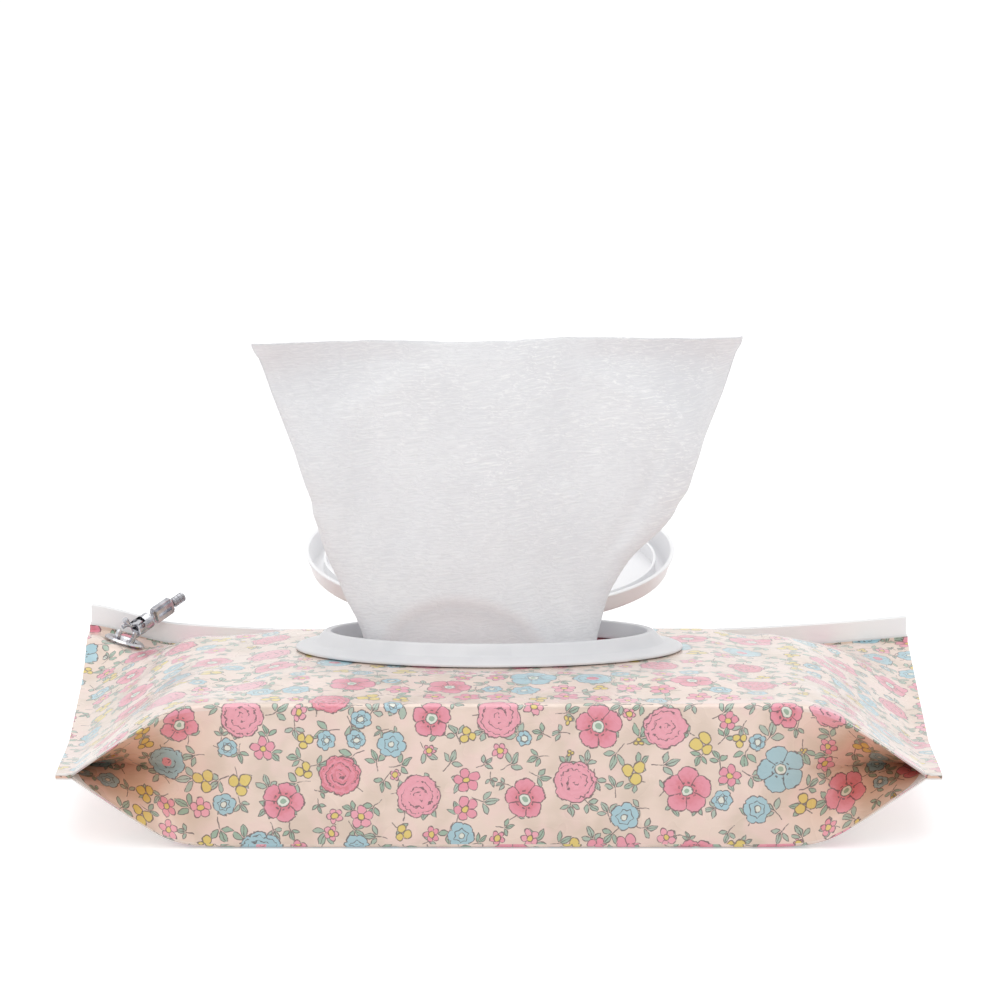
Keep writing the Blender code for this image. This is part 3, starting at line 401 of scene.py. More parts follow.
    def leaf_tone(self, graph: Graph, cell: Cell) -> bpy.types.NodeSocket:
        """Green that varies from leaf to leaf."""
        return graph.mix(cell.tone * 0.7, self.leaf, srgb(184, 196, 184))

    def blooms(self, graph: Graph, cell: Cell, wobble: Value) -> tuple[Value, bpy.types.NodeSocket, Value]:
        """Large blooms: open ones with five petals and rolled ones with turned petals."""
        radius, angle, _, _ = self.polar(graph, cell)
        open_bloom = cell.kind > 0.45
        petals = abs((angle * 2.5).cosine())
        scallops = abs((angle * 3.5 + 0.6).cosine())
        reach = (cell.room - 0.4).least(self.bloom_radius) * (cell.tone * 0.22 + 0.8)
        opened = petals ** 0.55 * 0.24 + 0.76
        curled = scallops ** 0.6 * 0.12 + 0.86
        shape = open_bloom * opened + (1 - open_bloom) * curled
        edge = reach * shape + wobble * 0.9 - radius
        inside = edge > 0

        spiral = ((radius / 1.7 - angle / (2 * math.pi) + wobble * 1.1) % 1.0 - 0.5) * 1.7
        broken = (angle * 1.5 + radius * 1.1).sine() + wobble * 2.0 > -0.35
        rolled = self.stroke(spiral, self.line) * (radius < reach * 0.86) * (1 - open_bloom) * broken
        notch = radius * petals / 2.5 + wobble * 0.25
        parting = self.stroke(notch, self.line) * (radius > 1.9) * open_bloom
        heart = self.stroke(radius - self.heart_radius + wobble * 0.6, self.line) * open_bloom
        spaced = (angle * 9).cosine() > 0.1
        dots = self.stroke(radius - 2.35 + wobble * 0.5, self.line * 1.3) * spaced * open_bloom
        eye = (radius < self.eye_radius) * open_bloom

        petal = graph.mix(((radius / reach) + wobble * 0.5).ramp(0.3, 0.85), self.deep, self.pink)
        turned = graph.mix((spiral + 0.8 + wobble).ramp(0.0, 1.6), self.deep, self.pink)
        turned = graph.mix((cell.tone > 0.5) * 0.7, turned, self.rose)
        fill = graph.mix(open_bloom, turned, petal)
        fill = graph.mix((radius < self.heart_radius) * open_bloom, fill, self.pale)
        fill = graph.mix(eye, fill, self.leaf)
        cool = (cell.turn > 0.8) * (radius > self.heart_radius)
        fill = graph.mix(cool, fill, self.blue)
        line = self.stroke(edge, self.line * 1.15).most(inside * rolled.most(parting).most(heart).most(dots))
        return edge, fill, line

    def blossoms(
        self, graph: Graph, cell: Cell, gap: Value, wobble: Value
    ) -> tuple[Value, bpy.types.NodeSocket, Value]:
        """Small blossoms in pink and blue, and groups of three berries."""
        radius, angle, _, _ = self.polar(graph, cell)
        reach = (cell.room - 0.15).least(gap).least(self.blossom_radius)
        blue = cell.kind < 0.3
        star = (cell.kind > 0.3) * (cell.kind < 0.66)
        berry = cell.kind > 0.66
        scallops = abs((angle * 3).cosine())
        petals = abs((angle * 2.5).cosine())
        shape = blue * (scallops ** 0.6 * 0.2 + 0.8) + star * (petals ** 0.75 * 0.42 + 0.52)
        flower = reach * shape + wobble * 0.5 - radius

        third = 2 * math.pi / 3
        folded = (angle + math.pi) % third - third / 2
        along = folded.cosine() * radius - reach * 0.5
        across = folded.sine() * radius
        disc = reach * 0.42 - graph.math("SQRT", along * along + across * across) + wobble * 0.2
        edge = flower * (1 - berry) + disc * berry
        edge = edge - (reach < 1.0) * 9.0

        notch = radius * petals / 2.5
        parting = self.stroke(notch, self.line * 0.9) * star * (radius > 0.8)
        heart = self.stroke(radius - self.blossom_heart + wobble * 0.3, self.line * 0.9) * (1 - berry)
        frill = self.stroke(radius - reach * 0.6 + scallops * 0.5, self.line * 0.8) * blue
        fill = graph.mix(blue, graph.mix(cell.tone, self.rose, self.pink), self.blue)
        middle = graph.mix(blue, self.yellow, self.pale)
        fill = graph.mix((radius < self.blossom_heart) * (1 - berry), fill, middle)
        fill = graph.mix(berry, fill, self.yellow)
        line = self.stroke(edge, self.line).most((edge > 0) * parting.most(heart).most(frill))
        return edge, fill, line

    def sprigs(self, graph: Graph, cell: Cell, wobble: Value) -> tuple[Value, Value]:
        """Three leaves on a bent stem, drawn between the flowers."""
        _, _, x, y = self.polar(graph, cell)
        size = (cell.room / 2.7).least(1.45)
        along = x / size
        across = y / size - along * along * 0.06
        leaf = self.leaf_shape(along - 1.75, abs(across), 1.6, 0.74)
        side_along = along * 0.5 + abs(across) * 0.87 - 1.6
        side_across = along * 0.87 - abs(across) * 0.5 + 0.3
        side = self.leaf_shape(side_along, abs(side_across), 1.35, 0.62)
        edge = leaf.most(side) * size
        stem = self.stroke(across * size, self.line * 0.9) * (along > -2.9) * (along < 1.2)
        rib = self.stroke(across * size, self.line * 0.6) * (along < 2.9) * (along > 0.4)
        fill = edge.ramp(-0.03, 0.05)
        line = self.stroke(edge + wobble * 0.1, self.line * 0.85).most(stem).most(rib)
        return fill, line

    @staticmethod
    def leaf_shape(along: Value, across: Value, half: float, width: float) -> Value:
        """How far a point is inside one pointed leaf, from its own middle."""
        share = along / half
        return (1 - share * share) * width - across


@dataclass(frozen=True)
class PrintedFilm:
    """Semi-gloss laminated film with the print on its outer face."""

    name: str = "printed_film_outside"
    # Whether the front panel gets painted shade towards its folded ends.
    paint_gusset_shade: bool = False
    roughness: float = 0.27
    # Warm tint multiplied in as painted shade on the front panel.
    gusset_shade_tint: tuple = srgb(232, 178, 138)
    pattern: FloralPrint = field(default_factory=FloralPrint)

    def material(self) -> bpy.types.Material:
        """Build the film's material."""
        graph = Graph(self.name)
        sheet = graph.sheet_place("sheet")
        point = graph.vector("SCALE", sheet, scale=1000)
        colour, inked = self.pattern.paint(graph, point)
        # Painted shade: a warm multiply darkens the front panel a little all over and most towards its folded
        # ends around the middle crease, where the folds lie in shade.
        if self.paint_gusset_shade:
            across, down, _ = graph.parts(point)
            far = abs(across).ramp(62, 108) * (1 - abs(down + 17).ramp(9, 24) * 0.7)
            gusset_shaded_colour = graph.mix(1.0, colour, self.gusset_shade_tint, "MULTIPLY")
            colour = graph.mix(far * 0.66 + 0.06, colour, gusset_shaded_colour)
        place = graph.place()
        smear = graph.noise(place, 60, 2.0)
        ripple = graph.noise(graph.vector("MULTIPLY", place, (0.3, 1.0, 1.0)), 150, 3.0, 0.45)
        grain = graph.noise(sheet, 5200, 1.0)
        drawn = graph.noise(graph.vector("MULTIPLY", place, (0.3, 1.0, 1.0)), 700, 3.0, 0.6)
        streaks = graph.bump(drawn, 0.0004, 0.28, graph.bump(grain, 0.00005, 0.15))
        normal = graph.bump(ripple, 0.0014, 0.3, streaks)
        graph.set(
            Base_Color=colour,
            Roughness=smear * 0.14 + inked * 0.03 + self.roughness - 0.07,
            Normal=normal,
            IOR=1.52,
            Coat_Weight=0.8,
            Coat_Roughness=0.2,
        )
        return graph.material


@dataclass(frozen=True)
class PlainFilm:
    """The film's unprinted inner face and cut edges."""

    name: str = "printed_film_inside"
    colour: tuple = srgb(236, 232, 228)

    def material(self) -> bpy.types.Material:
        """Build the inner face's material."""
        graph = Graph(self.name)
        cloud = graph.noise(graph.place(), 90, 3.0)
        colour = graph.mix(cloud * 0.4, self.colour, srgb(224, 216, 210))
        graph.set(Base_Color=colour, Roughness=cloud * 0.1 + 0.38, Normal=graph.bump(cloud, 0.0003, 0.1))
        return graph.material


@dataclass(frozen=True)
class MouldedPlastic:
    """White moulded plastic: slightly cloudy, with a fine satin grain."""

    name: str
    colour: tuple = srgb(229, 229, 231)
    shade: tuple = srgb(218, 219, 222)
    roughness: float = 0.32
    grain: float = 0.12
    depth: float = 0.25

    def material(self) -> bpy.types.Material:
        """Build the plastic's material."""
        graph = Graph(self.name)
        place = graph.place()
        cloud = graph.noise(place, 55, 3.0)
        colour = graph.mix(cloud.ramp(0.3, 0.75), self.colour, self.shade)
        flow = graph.noise(graph.vector("MULTIPLY", place, (1.0, 1.0, 4.0)), 300, 2.0)
        fine = graph.noise(place, 4200, 2.0)
        normal = graph.bump(fine, 0.00004, self.grain, graph.bump(flow, 0.0002, 0.08))
        graph.set(
            Base_Color=colour,
            Roughness=flow * 0.12 + self.roughness - 0.06,
            Normal=normal,
            IOR=1.48,
            Subsurface_Weight=self.depth,
            Subsurface_Radius=(0.004, 0.004, 0.0042),
            Subsurface_Scale=0.5,
        )
        return graph.material


@dataclass(frozen=True)
class Nonwoven:
    """Damp nonwoven cloth: fibres that run across the sheet, with wet glints that lower the roughness and are
    also painted into the colour as white highlights.
    """

    name: str
    mapped: bool = True
    colour: tuple = srgb(243, 243, 245)
    shade: tuple = srgb(229, 229, 232)
    # Pinkish grey painted as shade over the arch of the dent low in the middle; None paints none.
    painted_dent_shade: tuple | None = None

    def material(self) -> bpy.types.Material:
        """Build the cloth's material."""
        graph = Graph(self.name)
        sheet = graph.sheet_place("sheet") if self.mapped else graph.place()
        lay = graph.vector("MULTIPLY", sheet, (1.0, 5.0, 5.0))
        bent = graph.noise(sheet, 150, 2.0) * 0.012
        drawn = graph.vector("ADD", lay, graph.joined(bent, bent))
        fibres = graph.noise(drawn, 360, 4.0, 0.6)
        strands = graph.noise(drawn, 900, 3.0, 0.6)
        cloud = graph.noise(sheet, 46, 4.0)
        patchy = graph.noise(sheet, 34, 3.0, 0.6)
        thick = fibres * 0.45 + strands * 0.25 + cloud * 0.3
        colour = graph.mix(thick.ramp(0.38, 0.64), self.shade, self.colour)
        # Wet glints: they lower the roughness and add coat, and they also turn the colour white as painted
        # highlights.
        gloss_and_painted_highlight = (fibres * 0.6 + strands * 0.4).ramp(0.53, 0.6) * patchy.ramp(0.4, 0.56)
        if self.painted_dent_shade is not None:
            across, height, _ = graph.parts(sheet)
            # On the pulled wipe the painted highlights keep to its upper part and are strongest on its right,
            # where the light catches it.
            raised = (height + across * 0.25).ramp(0.026, 0.058)
            gloss_and_painted_highlight = gloss_and_painted_highlight * raised * (across.ramp(-0.06, 0.01) * 0.6 + 0.4)
        # Painted highlight: the colour turns white on the glints.
        colour = graph.mix(gloss_and_painted_highlight, colour, (1.0, 1.0, 1.0, 1.0))
        if self.painted_dent_shade is not None:
            # Painted shade: a pinkish grey tint over the arch of the dent low in the middle and along its rim
            # line, standing in for the dent's shadow and the print's pink light through the damp cloth.
            arch = ((across + 0.005) / 0.0215) ** 2.0 + (height / 0.0165) ** 2.0
            inside = 1 - arch.ramp(0.5, 1.2)
            rim = (1 - abs(arch - 0.95).ramp(0.0, 0.5)) * 0.35
            colour = graph.mix((inside * 0.35).most(rim), colour, self.painted_dent_shade)
        normal = graph.bump(strands, 0.00018, 0.45, graph.bump(fibres, 0.0004, 0.45))
        graph.set(
            Base_Color=colour,
            Roughness=0.62 - gloss_and_painted_highlight * 0.34,
            Coat_Weight=gloss_and_painted_highlight * 0.5,
            Normal=normal,
            Subsurface_Weight=0.35,
            Subsurface_Radius=(0.003, 0.003, 0.0032),
            Subsurface_Scale=0.4,
        )
        return graph.material


@dataclass(frozen=True)
class PolishedMetal:
    """Plated or bare metal with faint polishing marks."""

    name: str
    colour: tuple = srgb(208, 208, 212)
    dark: tuple = srgb(170, 170, 176)
    roughness: float = 0.14

    def material(self) -> bpy.types.Material:
        """Build the metal's material."""
        graph = Graph(self.name)
        place = graph.place()
        mark = graph.noise(graph.vector("MULTIPLY", place, (0.4, 1.0, 1.0)), 2600, 3.0)
        cloud = graph.noise(place, 480, 2.0)
        graph.set(
            Base_Color=graph.mix(cloud.ramp(0.35, 0.75), self.colour, self.dark),
            Metallic=1.0,
            Roughness=mark * 0.12 + cloud * 0.08 + self.roughness - 0.08,
            Normal=graph.bump(mark, 0.00004, 0.15),
        )
        return graph.material


# Mesh making

def smoothstep(value: float) -> float:
    """A smooth 0 to 1 ramp, flat at both ends."""
    value = min(max(value, 0.0), 1.0)
    return value * value * (3 - 2 * value)


@dataclass
class Sheet:
    """A grid of points that becomes a mesh with a map of the flat sheet."""

    name: str
    rows: list = field(default_factory=list)
    maps: list = field(default_factory=list)

    def add(self, points: list[Point], places: list[tuple[float, float]]) -> None:
        """Add one row of points and their places on the flat sheet."""
        self.rows.append(points)
        self.maps.append(places)

    def mesh(self, flip: bool = False) -> bpy.types.Object:
        """Make the mesh object.

        Args:
            flip: Whether the faces point the other way.

        Returns:
            The new object, in the scene.
        """
        bm = bmesh.new()
        layer = bm.loops.layers.uv.new("sheet")
        grid = [[bm.verts.new(point) for point in row] for row in self.rows]
        for i in range(len(grid) - 1):
            for j in range(len(grid[i]) - 1):
                ring = [(i, j), (i, j + 1), (i + 1, j + 1), (i + 1, j)]
                if flip:
                    ring.reverse()
                face = bm.faces.new([grid[a][b] for a, b in ring])
                for loop, (a, b) in zip(face.loops, ring):
                    loop[layer].uv = self.maps[a][b]
        return add_object(self.name, bm)


def add_object(name: str, bm: bmesh.types.BMesh) -> bpy.types.Object:
    """Turn a bmesh into a smooth shaded object in the scene."""
    mesh = bpy.data.meshes.new(name)
    bm.to_mesh(mesh)
    bm.free()
    mesh.shade_smooth()
    item = bpy.data.objects.new(name, mesh)
    bpy.context.scene.collection.objects.link(item)
    return item


def bake(item: bpy.types.Object) -> None:
    """Replace an object's mesh by its mesh with all modifiers applied."""
    graph = bpy.context.evaluated_depsgraph_get()
    mesh = bpy.data.meshes.new_from_object(item.evaluated_get(graph))
    item.modifiers.clear()
    item.data = mesh


def thicken(item: bpy.types.Object, depth: float, offset: float = -1.0, inner_slot: int = 0) -> None:
    """Give a sheet its thickness, with another material slot inside and on its cut edges."""
    solid = item.modifiers.new("thickness", "SOLIDIFY")
    solid.thickness = depth
    solid.offset = offset
    solid.material_offset = inner_slot
    solid.material_offset_rim = inner_slot
    bake(item)


def cut(item: bpy.types.Object, tool: bpy.types.Object) -> None:
    """Cut one mesh out of another and drop the tool."""
    modifier = item.modifiers.new("cut", "BOOLEAN")
    modifier.operation = "DIFFERENCE"
    modifier.solver = "EXACT"
    modifier.object = tool
    bake(item)
    bpy.data.objects.remove(tool, do_unlink=True)


def loft(name: str, loops: list[list[Point]], ring: bool = False, angle: float = 32) -> bpy.types.Object:
    """Skin a row of loops with the same number of points.

    Args:
        name: The new object's name.
        loops: The loops in order.
        ring: Whether the last loop joins the first. Otherwise both ends are capped.
        angle: Edges sharper than this, in degrees, stay sharp.

    Returns:
        The new object.
    """
    bm = bmesh.new()
    rows = [[bm.verts.new(point) for point in loop] for loop in loops]
    pairs = list(zip(rows, rows[1:]))
    if ring:
        pairs.append((rows[-1], rows[0]))
    for first, second in pairs:
        for index in range(len(first)):
            after = (index + 1) % len(first)
            bm.faces.new((first[index], first[after], second[after], second[index]))
    if not ring:
        bm.faces.new(rows[0])
        bm.faces.new(rows[-1])
    bmesh.ops.recalc_face_normals(bm, faces=bm.faces)
    item = add_object(name, bm)
    item.data.set_sharp_from_angle(angle=math.radians(angle))
    return item


def dress(item: bpy.types.Object, slot: Slot, *materials: bpy.types.Material) -> bpy.types.Object:
    """Give a piece its materials."""
    item.data.materials.clear()
    for material in materials:
        item.data.materials.append(material)
    return item


def place_piece(item: bpy.types.Object, body: str, *nodes: str) -> None:
    """Let a piece ride on a body in the place of its CAD nodes."""
    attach(item, body)
    if nodes:
        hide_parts(*nodes)
    log.info("%s rides on %s, %d faces", item.name, body, len(item.data.polygons))


# Sub-assemblies

@dataclass
class Pouch:
    """The film bag. Its y runs from the front face, and origin_y moves it to the frame's origin."""

    origin_y: float = -52 * MM
    half_width: float = 120 * MM
    seal_inner: float = 115.5 * MM
    stack_half: float = 71 * MM
    stack_rear: float = 102 * MM
    film_top: float = 39.8 * MM
    crown: float = 2.0 * MM
    crown_shoulder: float = 14 * MM
    crown_rise: float = 34 * MM
    edge_round: float = 1.5 * MM
    edge_drop: float = 0.8 * MM
    seal_thickness: float = 1.0 * MM
    seal_dip: float = 1.2 * MM
    seal_turn: float = 50 * MM
    seal_lift: float = 22.2 * MM
    fold_sharpness: float = 12
    fold_middle: float = 0.4
    zip_y: float = 139 * MM
    neck_front: float = 136.7 * MM
    neck_rear: float = 141.3 * MM
    neck_height: float = 1.6 * MM
    neck_drop: float = 3.0 * MM
    zip_sag: float = 26 * MM
    zip_rise: float = 5 * MM
    lift: float = 3.5 * MM
    lift_length: float = 26 * MM
    gap: float = 0.3 * MM
    film: float = 0.6 * MM
    skin: float = 0.4 * MM
    eyelet_x: float = -109.5 * MM
    eyelet_y: float = 127.5 * MM
    eyelet_hole: float = 4.3 * MM
    patch_radius: float = 7.5 * MM
    patch_fade: float = 7 * MM
    patch_half: float = 0.65 * MM
    patch_level: float = 31.6 * MM
    patch_reach: float = 6.1 * MM
    patch_slope_x: float = 0.3
    patch_slope_y: float = 0.05
    ring_x: float = -2.7 * MM
    ring_y: float = 70 * MM
    ring_half_x: float = 56 * MM
    ring_half_y: float = 31.5 * MM
    columns: int = 190
    top_rows: int = 96
    front_rows: int = 24
    bottom_rows: int = 84

    def zip_base(self, x: float) -> float:
        """Height of the zip neck's foot."""
        return self.zip_sag + self.zip_rise * (abs(x) / self.half_width) ** 2.5 + self.corner_lift(x)

    def corner_lift(self, x: float) -> float:
        """Lift of the rear left corner."""
        return self.lift * smoothstep((-x - (self.half_width - self.lift_length)) / self.lift_length)

    def seal_line(self, x: float, y: float) -> float:
        """Height of the side seal."""
        middle = self.film_top / 2
        if y < self.seal_turn:
            return middle - self.seal_dip * smoothstep(y / self.seal_turn)
        low = middle - self.seal_dip
        along = (y - self.seal_turn) / (self.zip_y - self.seal_turn)
        lift = self.corner_lift(x) * smoothstep((y - self.stack_rear) / self.seal_lift)
        return low + (self.zip_sag + self.zip_rise - low) * along ** 1.1 + lift

    def fullness(self, x: float) -> float:
        """Share of the full height kept between the stack and the side seal."""
        start = self.stack_half - 0.1 * MM
        share = (abs(x) - start) / (self.seal_inner - start)
        if share <= 0:
            return 1.0
        if share >= 1:
            return 0.0
        fall = math.log(1 + math.exp(self.fold_sharpness * (share - self.fold_middle)))
        return 1 - fall / math.log(1 + math.exp(self.fold_sharpness * (1 - self.fold_middle)))

    def patch_share(self, x: float, y: float) -> float:
        """How far the flat welded corner decides the height."""
        distance = math.hypot(x - self.eyelet_x, y - self.eyelet_y)
        share = 1 - smoothstep((distance - self.patch_radius) / self.patch_fade)
        room = self.neck_front - self.eyelet_y - self.patch_reach
        return share * (1 - smoothstep((y - self.eyelet_y - self.patch_reach) / room))

    def patch_height(self, x: float, y: float) -> float:
        """Middle height of the flat welded corner."""
        fall_x = self.patch_slope_x * (x - self.eyelet_x)
        return self.patch_level - fall_x - self.patch_slope_y * (y - self.eyelet_y)

    def top_height(self, x: float, y: float) -> float:
        """Height of the top film's outer face."""
        across = 1 - smoothstep((abs(x) - (self.stack_half + MM - self.crown_shoulder)) / self.crown_shoulder)
        height = self.film_top + self.crown * across * smoothstep(y / self.crown_rise)
        tail = self.stack_rear - self.gap - MM
        if y > tail:
            fall = min((y - tail) / (self.neck_front - tail), 1.0)
            height += (self.zip_base(x) + self.film - height) * fall ** 1.15
        if y < self.edge_round:
            height -= self.edge_drop * (1 - y / self.edge_round) ** 2
        seal = self.seal_line(x, y) + self.seal_thickness / 2
        height = seal + (height - seal) * self.fullness(x)
        share = self.patch_share(x, y)
        return height * (1 - share) + (self.patch_height(x, y) + self.patch_half) * share

    def bottom_height(self, x: float, y: float) -> float:
        """Height of the bottom film's outer face."""
        height = 0.0
        if y > self.stack_rear:
            rise = min((y - self.stack_rear) / (self.neck_rear - self.stack_rear), 1.0)
            height = (self.zip_base(x) - self.film - self.gap - self.neck_drop) * rise ** 1.3
        if y < self.edge_round:
            height += self.edge_drop * (1 - y / self.edge_round) ** 2
        seal = self.seal_line(x, y) - self.seal_thickness / 2
        height = seal - (seal - height) * self.fullness(x)
        height = min(height, self.zip_base(x) - self.film - self.gap)
        share = self.patch_share(x, y)
        return height * (1 - share) + (self.patch_height(x, y) - self.patch_half) * share

    def gusset_depth(self, x: float) -> float:
        """How far the front face's crease is folded in."""
        if abs(x) >= self.seal_inner:
            return 0.0
        whole = self.top_height(0, 0) - self.bottom_height(0, 0)
        here = self.top_height(x, 0) - self.bottom_height(x, 0)
        return whole / 2 * math.sqrt(max(1 - (here / whole) ** 2, 0.0))

    def calm(self, x: float, y: float) -> float:
        """0 near the ring, the seals, the zip and the eyelet, and 1 on the free film."""
        oval = math.hypot((x - self.ring_x) / self.ring_half_x, (y - self.ring_y) / self.ring_half_y)
        free = smoothstep((oval - 1.02) / 0.3)
        free *= smoothstep((self.neck_front - y) / (16 * MM))
        free *= smoothstep((self.seal_inner - abs(x)) / (14 * MM))
        free *= smoothstep(y / (6 * MM))
        return free * (1 - self.patch_share(x, y))

    def ripple(self, x: float, y: float) -> float:
        """Small dents and folds of the free film, a little below its plain surface."""
        slow = noise.noise(Vector((x * 24, y * 40, 0.3)))
        pull = noise.noise(Vector(((x + y * 0.5 * math.copysign(1, x)) * 90, (y - abs(x) * 0.5) * 18, 2.7)))
        side = smoothstep((abs(x) - 62 * MM) / (20 * MM))
        return (slow * 0.5 * MM + pull * (0.3 + 0.9 * side) * MM) * self.calm(x, y)

    def stations(self) -> list[float]:
        """The x of each column of the film's grid."""
        count = self.columns
        inner = [-self.seal_inner + 2 * self.seal_inner * index / count for index in range(count + 1)]
        band = [self.seal_inner + (self.half_width - self.seal_inner) * share for share in (0.33, 0.66, 1.0)]
        return [-x for x in reversed(band)] + inner + band

    def lengths(self, xs: list[float]) -> list[float]:
        """Length along the front edge at each x, from the middle of the sheet."""
        total = [0.0]
        for first, second in zip(xs, xs[1:]):
            rise = self.top_height(second, 0) - self.top_height(first, 0)
            total.append(total[-1] + math.hypot(second - first, rise))
        return [length - total[-1] / 2 for length in total]

    def column(self, x: float, profile: Callable[[float], list[tuple[float, float]]]) -> list[Point]:
        """Points of one column from a profile of y and z."""
        return [(x, y + self.origin_y, z) for y, z in profile(x)]

    def depths(self, rear: float, steps: int) -> list[float]:
        """The y of a panel's rows, which stand closer at the rounded front edge."""
        near = [self.edge_round * (index / 5) ** 1.6 for index in range(6)]
        far = [self.edge_round + (rear - self.edge_round) * index / steps for index in range(1, steps + 1)]
        return near + far

    def top_profile(self, x: float) -> list[tuple[float, float]]:
        """The top panel, from under the front edge up to the zip's neck."""
        start = self.top_height(x, 0)
        full = self.fullness(x)
        points = [(0.25 * MM, start - 0.9 * MM * full), (0.05 * MM, start - 0.35 * MM * full)]
        for y in self.depths(self.neck_front, self.top_rows):
            points.append((y, self.top_height(x, y) + self.ripple(x, y)))
        foot = self.zip_base(x)
        for share in (0.5, 1.0):
            points.append((self.neck_front, foot + self.neck_height * share))
        return points

    def front_profile(self, x: float) -> list[tuple[float, float]]:
        """The folded front panel, from its upper edge to its lower edge."""
        crease = self.gusset_depth(x)
        upper = self.top_height(x, 0)
        lower = self.bottom_height(x, 0)
        middle = (self.top_height(x, crease) + self.bottom_height(x, crease)) / 2
        inset = 0.12 * MM * self.fullness(x)
        points = []
        for index in range(self.front_rows + 1):
            share = index / self.front_rows
            if share < 0.5:
                y, z = crease * share * 2, upper + (middle - upper) * share * 2
            else:
                y, z = crease * (2 - share * 2), middle + (lower - middle) * (share * 2 - 1)
            fold = math.exp(-((share - 0.5) / 0.035) ** 2) * 0.35 * MM
            slow = noise.noise(Vector((x * 30, share * 1.6, 9.1))) * 0.45 * MM
            calm = math.sin(math.pi * share) * smoothstep((self.seal_inner - abs(x)) / (12 * MM))
            points.append((y + inset + (fold + slow) * calm, z))
        return points

    def bottom_profile(self, x: float) -> list[tuple[float, float]]:
        """The bottom panel, from the front's lower edge to the zip's neck."""
        start = self.bottom_height(x, 0)
        points = [(0.05 * MM, start + 0.35 * MM * self.fullness(x))]
        points += [(y, self.bottom_height(x, y)) for y in self.depths(self.neck_rear, self.bottom_rows)]
        foot = self.zip_base(x)
        return points + [(self.neck_rear, foot), (self.neck_rear, foot + self.neck_height)]

    def panel(self, name: str, profile: Callable, start: float, sign: float, flip: bool) -> bpy.types.Object:
        """Build one panel of the film with its place on the flat sheet."""
        xs = self.stations()
        sheet = Sheet(name)
        for x, u in zip(xs, self.lengths(xs)):
            points = self.column(x, profile)
            places = []
            length = start
            for index, point in enumerate(points):
                if index:
                    length += sign * (Vector(point) - Vector(points[index - 1])).length
                places.append((u, length))
            sheet.add(points, places)
        return sheet.mesh(flip)

    def build(
        self, printed: bpy.types.Material, folded: bpy.types.Material, plain: bpy.types.Material,
        mouth: bpy.types.Object,
    ) -> None:
        """Build, thicken and dress the three panels.

        Args:
            printed: The outer face's material.
            folded: The outer face's material on the front panel, with painted shade towards its folded ends.
            plain: The inner face's material.
            mouth: A prism of the mouth's outline, which is used up.
        """
        top = self.panel("film_top", self.top_profile, -0.9 * MM, 1, True)
        front = self.panel("film_front", self.front_profile, 0.0, -1, False)
        bottom = self.panel("film_bottom", self.bottom_profile, -self.film_top, -1, False)
        for item in (top, front, bottom):
            dress(item, Slot.FILM, folded if item is front else printed, plain)
            thicken(item, self.skin, -1.0, 1)
        eyelet = self.eyelet_tool()
        for item in (top, bottom):
            tool = eyelet.copy()
            bpy.context.scene.collection.objects.link(tool)
            cut(item, tool)
        bpy.data.objects.remove(eyelet, do_unlink=True)
        cut(top, mouth)
        for item in (top, front, bottom):
            item.data.set_sharp_from_angle(angle=math.radians(50))
            place_piece(item, "pouch", "pouch_film")

    def eyelet_tool(self) -> bpy.types.Object:
        """A short rod where the eyelet goes through the film."""
        bm = bmesh.new()
        normal = Vector((self.patch_slope_x, self.patch_slope_y, 1)).normalized()
        turn = Vector((0, 0, 1)).rotation_difference(normal).to_matrix().to_4x4()
        centre = (self.eyelet_x, self.eyelet_y + self.origin_y, self.patch_level)
        bmesh.ops.create_cone(
            bm, cap_ends=True, segments=48, radius1=self.eyelet_hole, radius2=self.eyelet_hole,
            depth=6 * MM, matrix=Matrix.Translation(centre) @ turn,
        )
        return add_object("eyelet_tool", bm)


@dataclass
class PressZip:
    """The two plastic strips of the zip, which stand in the neck of the pouch."""

    pouch: Pouch
    end: float = 119.6 * MM
    strip: float = 0.7 * MM
    space: float = 1.4 * MM
    height: float = 7.3 * MM
    rib_level: float = 4.8 * MM
    half_rib: float = 0.55 * MM
    jaw: float = 0.6 * MM
    fit: float = 0.35 * MM
    stem: float = 0.3 * MM
    steps: int = 120

    def profiles(self) -> dict[str, list[tuple[float, float]]]:
        """The cross sections of both strips."""
        gap = self.pouch.gap
        first = self.pouch.neck_front + self.pouch.film + gap
        second = self.pouch.neck_rear - self.pouch.film - gap
        face = first + self.strip
        rear = second - self.strip
        low = self.rib_level - self.half_rib - self.fit
        high = self.rib_level + self.half_rib + self.fit
        tip = rear - self.space * 0.35
        soft = 0.12 * MM
        grooved = [
            (first, gap), (face, gap), (face, low - self.jaw), (tip, low - self.jaw), (tip, low), (face, low),
            (face, high), (tip, high), (tip, high + self.jaw), (face, high + self.jaw),
            (face, self.height - soft), (face - soft, self.height), (first + soft, self.height),
            (first, self.height - soft),
        ]
        ribbed = [
            (second, gap), (second, self.height - soft), (second - soft, self.height),
            (rear + soft, self.height), (rear, self.height - soft),
            (rear, self.rib_level + self.stem), (tip, self.rib_level + self.stem),
            (tip, self.rib_level + self.half_rib), (face + gap, self.rib_level + self.half_rib),
            (face + gap, self.rib_level - self.half_rib), (tip, self.rib_level - self.half_rib),
            (tip, self.rib_level - self.stem), (rear, self.rib_level - self.stem), (rear, gap),
        ]
        return {"zip_track_front": grooved, "zip_track_rear": ribbed}

    def build(self, material: bpy.types.Material) -> None:
        """Build both strips along the neck's sag."""
        xs = [-self.end + 2 * self.end * index / self.steps for index in range(self.steps + 1)]
        for node, profile in self.profiles().items():
            loops = []
            for x in xs:
                base = self.pouch.zip_base(x)
                loops.append([(x, y + self.pouch.origin_y, base + z) for y, z in profile])
            strip = loft(node + "_strip", loops)
            dress(strip, Slot.ZIP, material)
            place_piece(strip, "pouch", node)


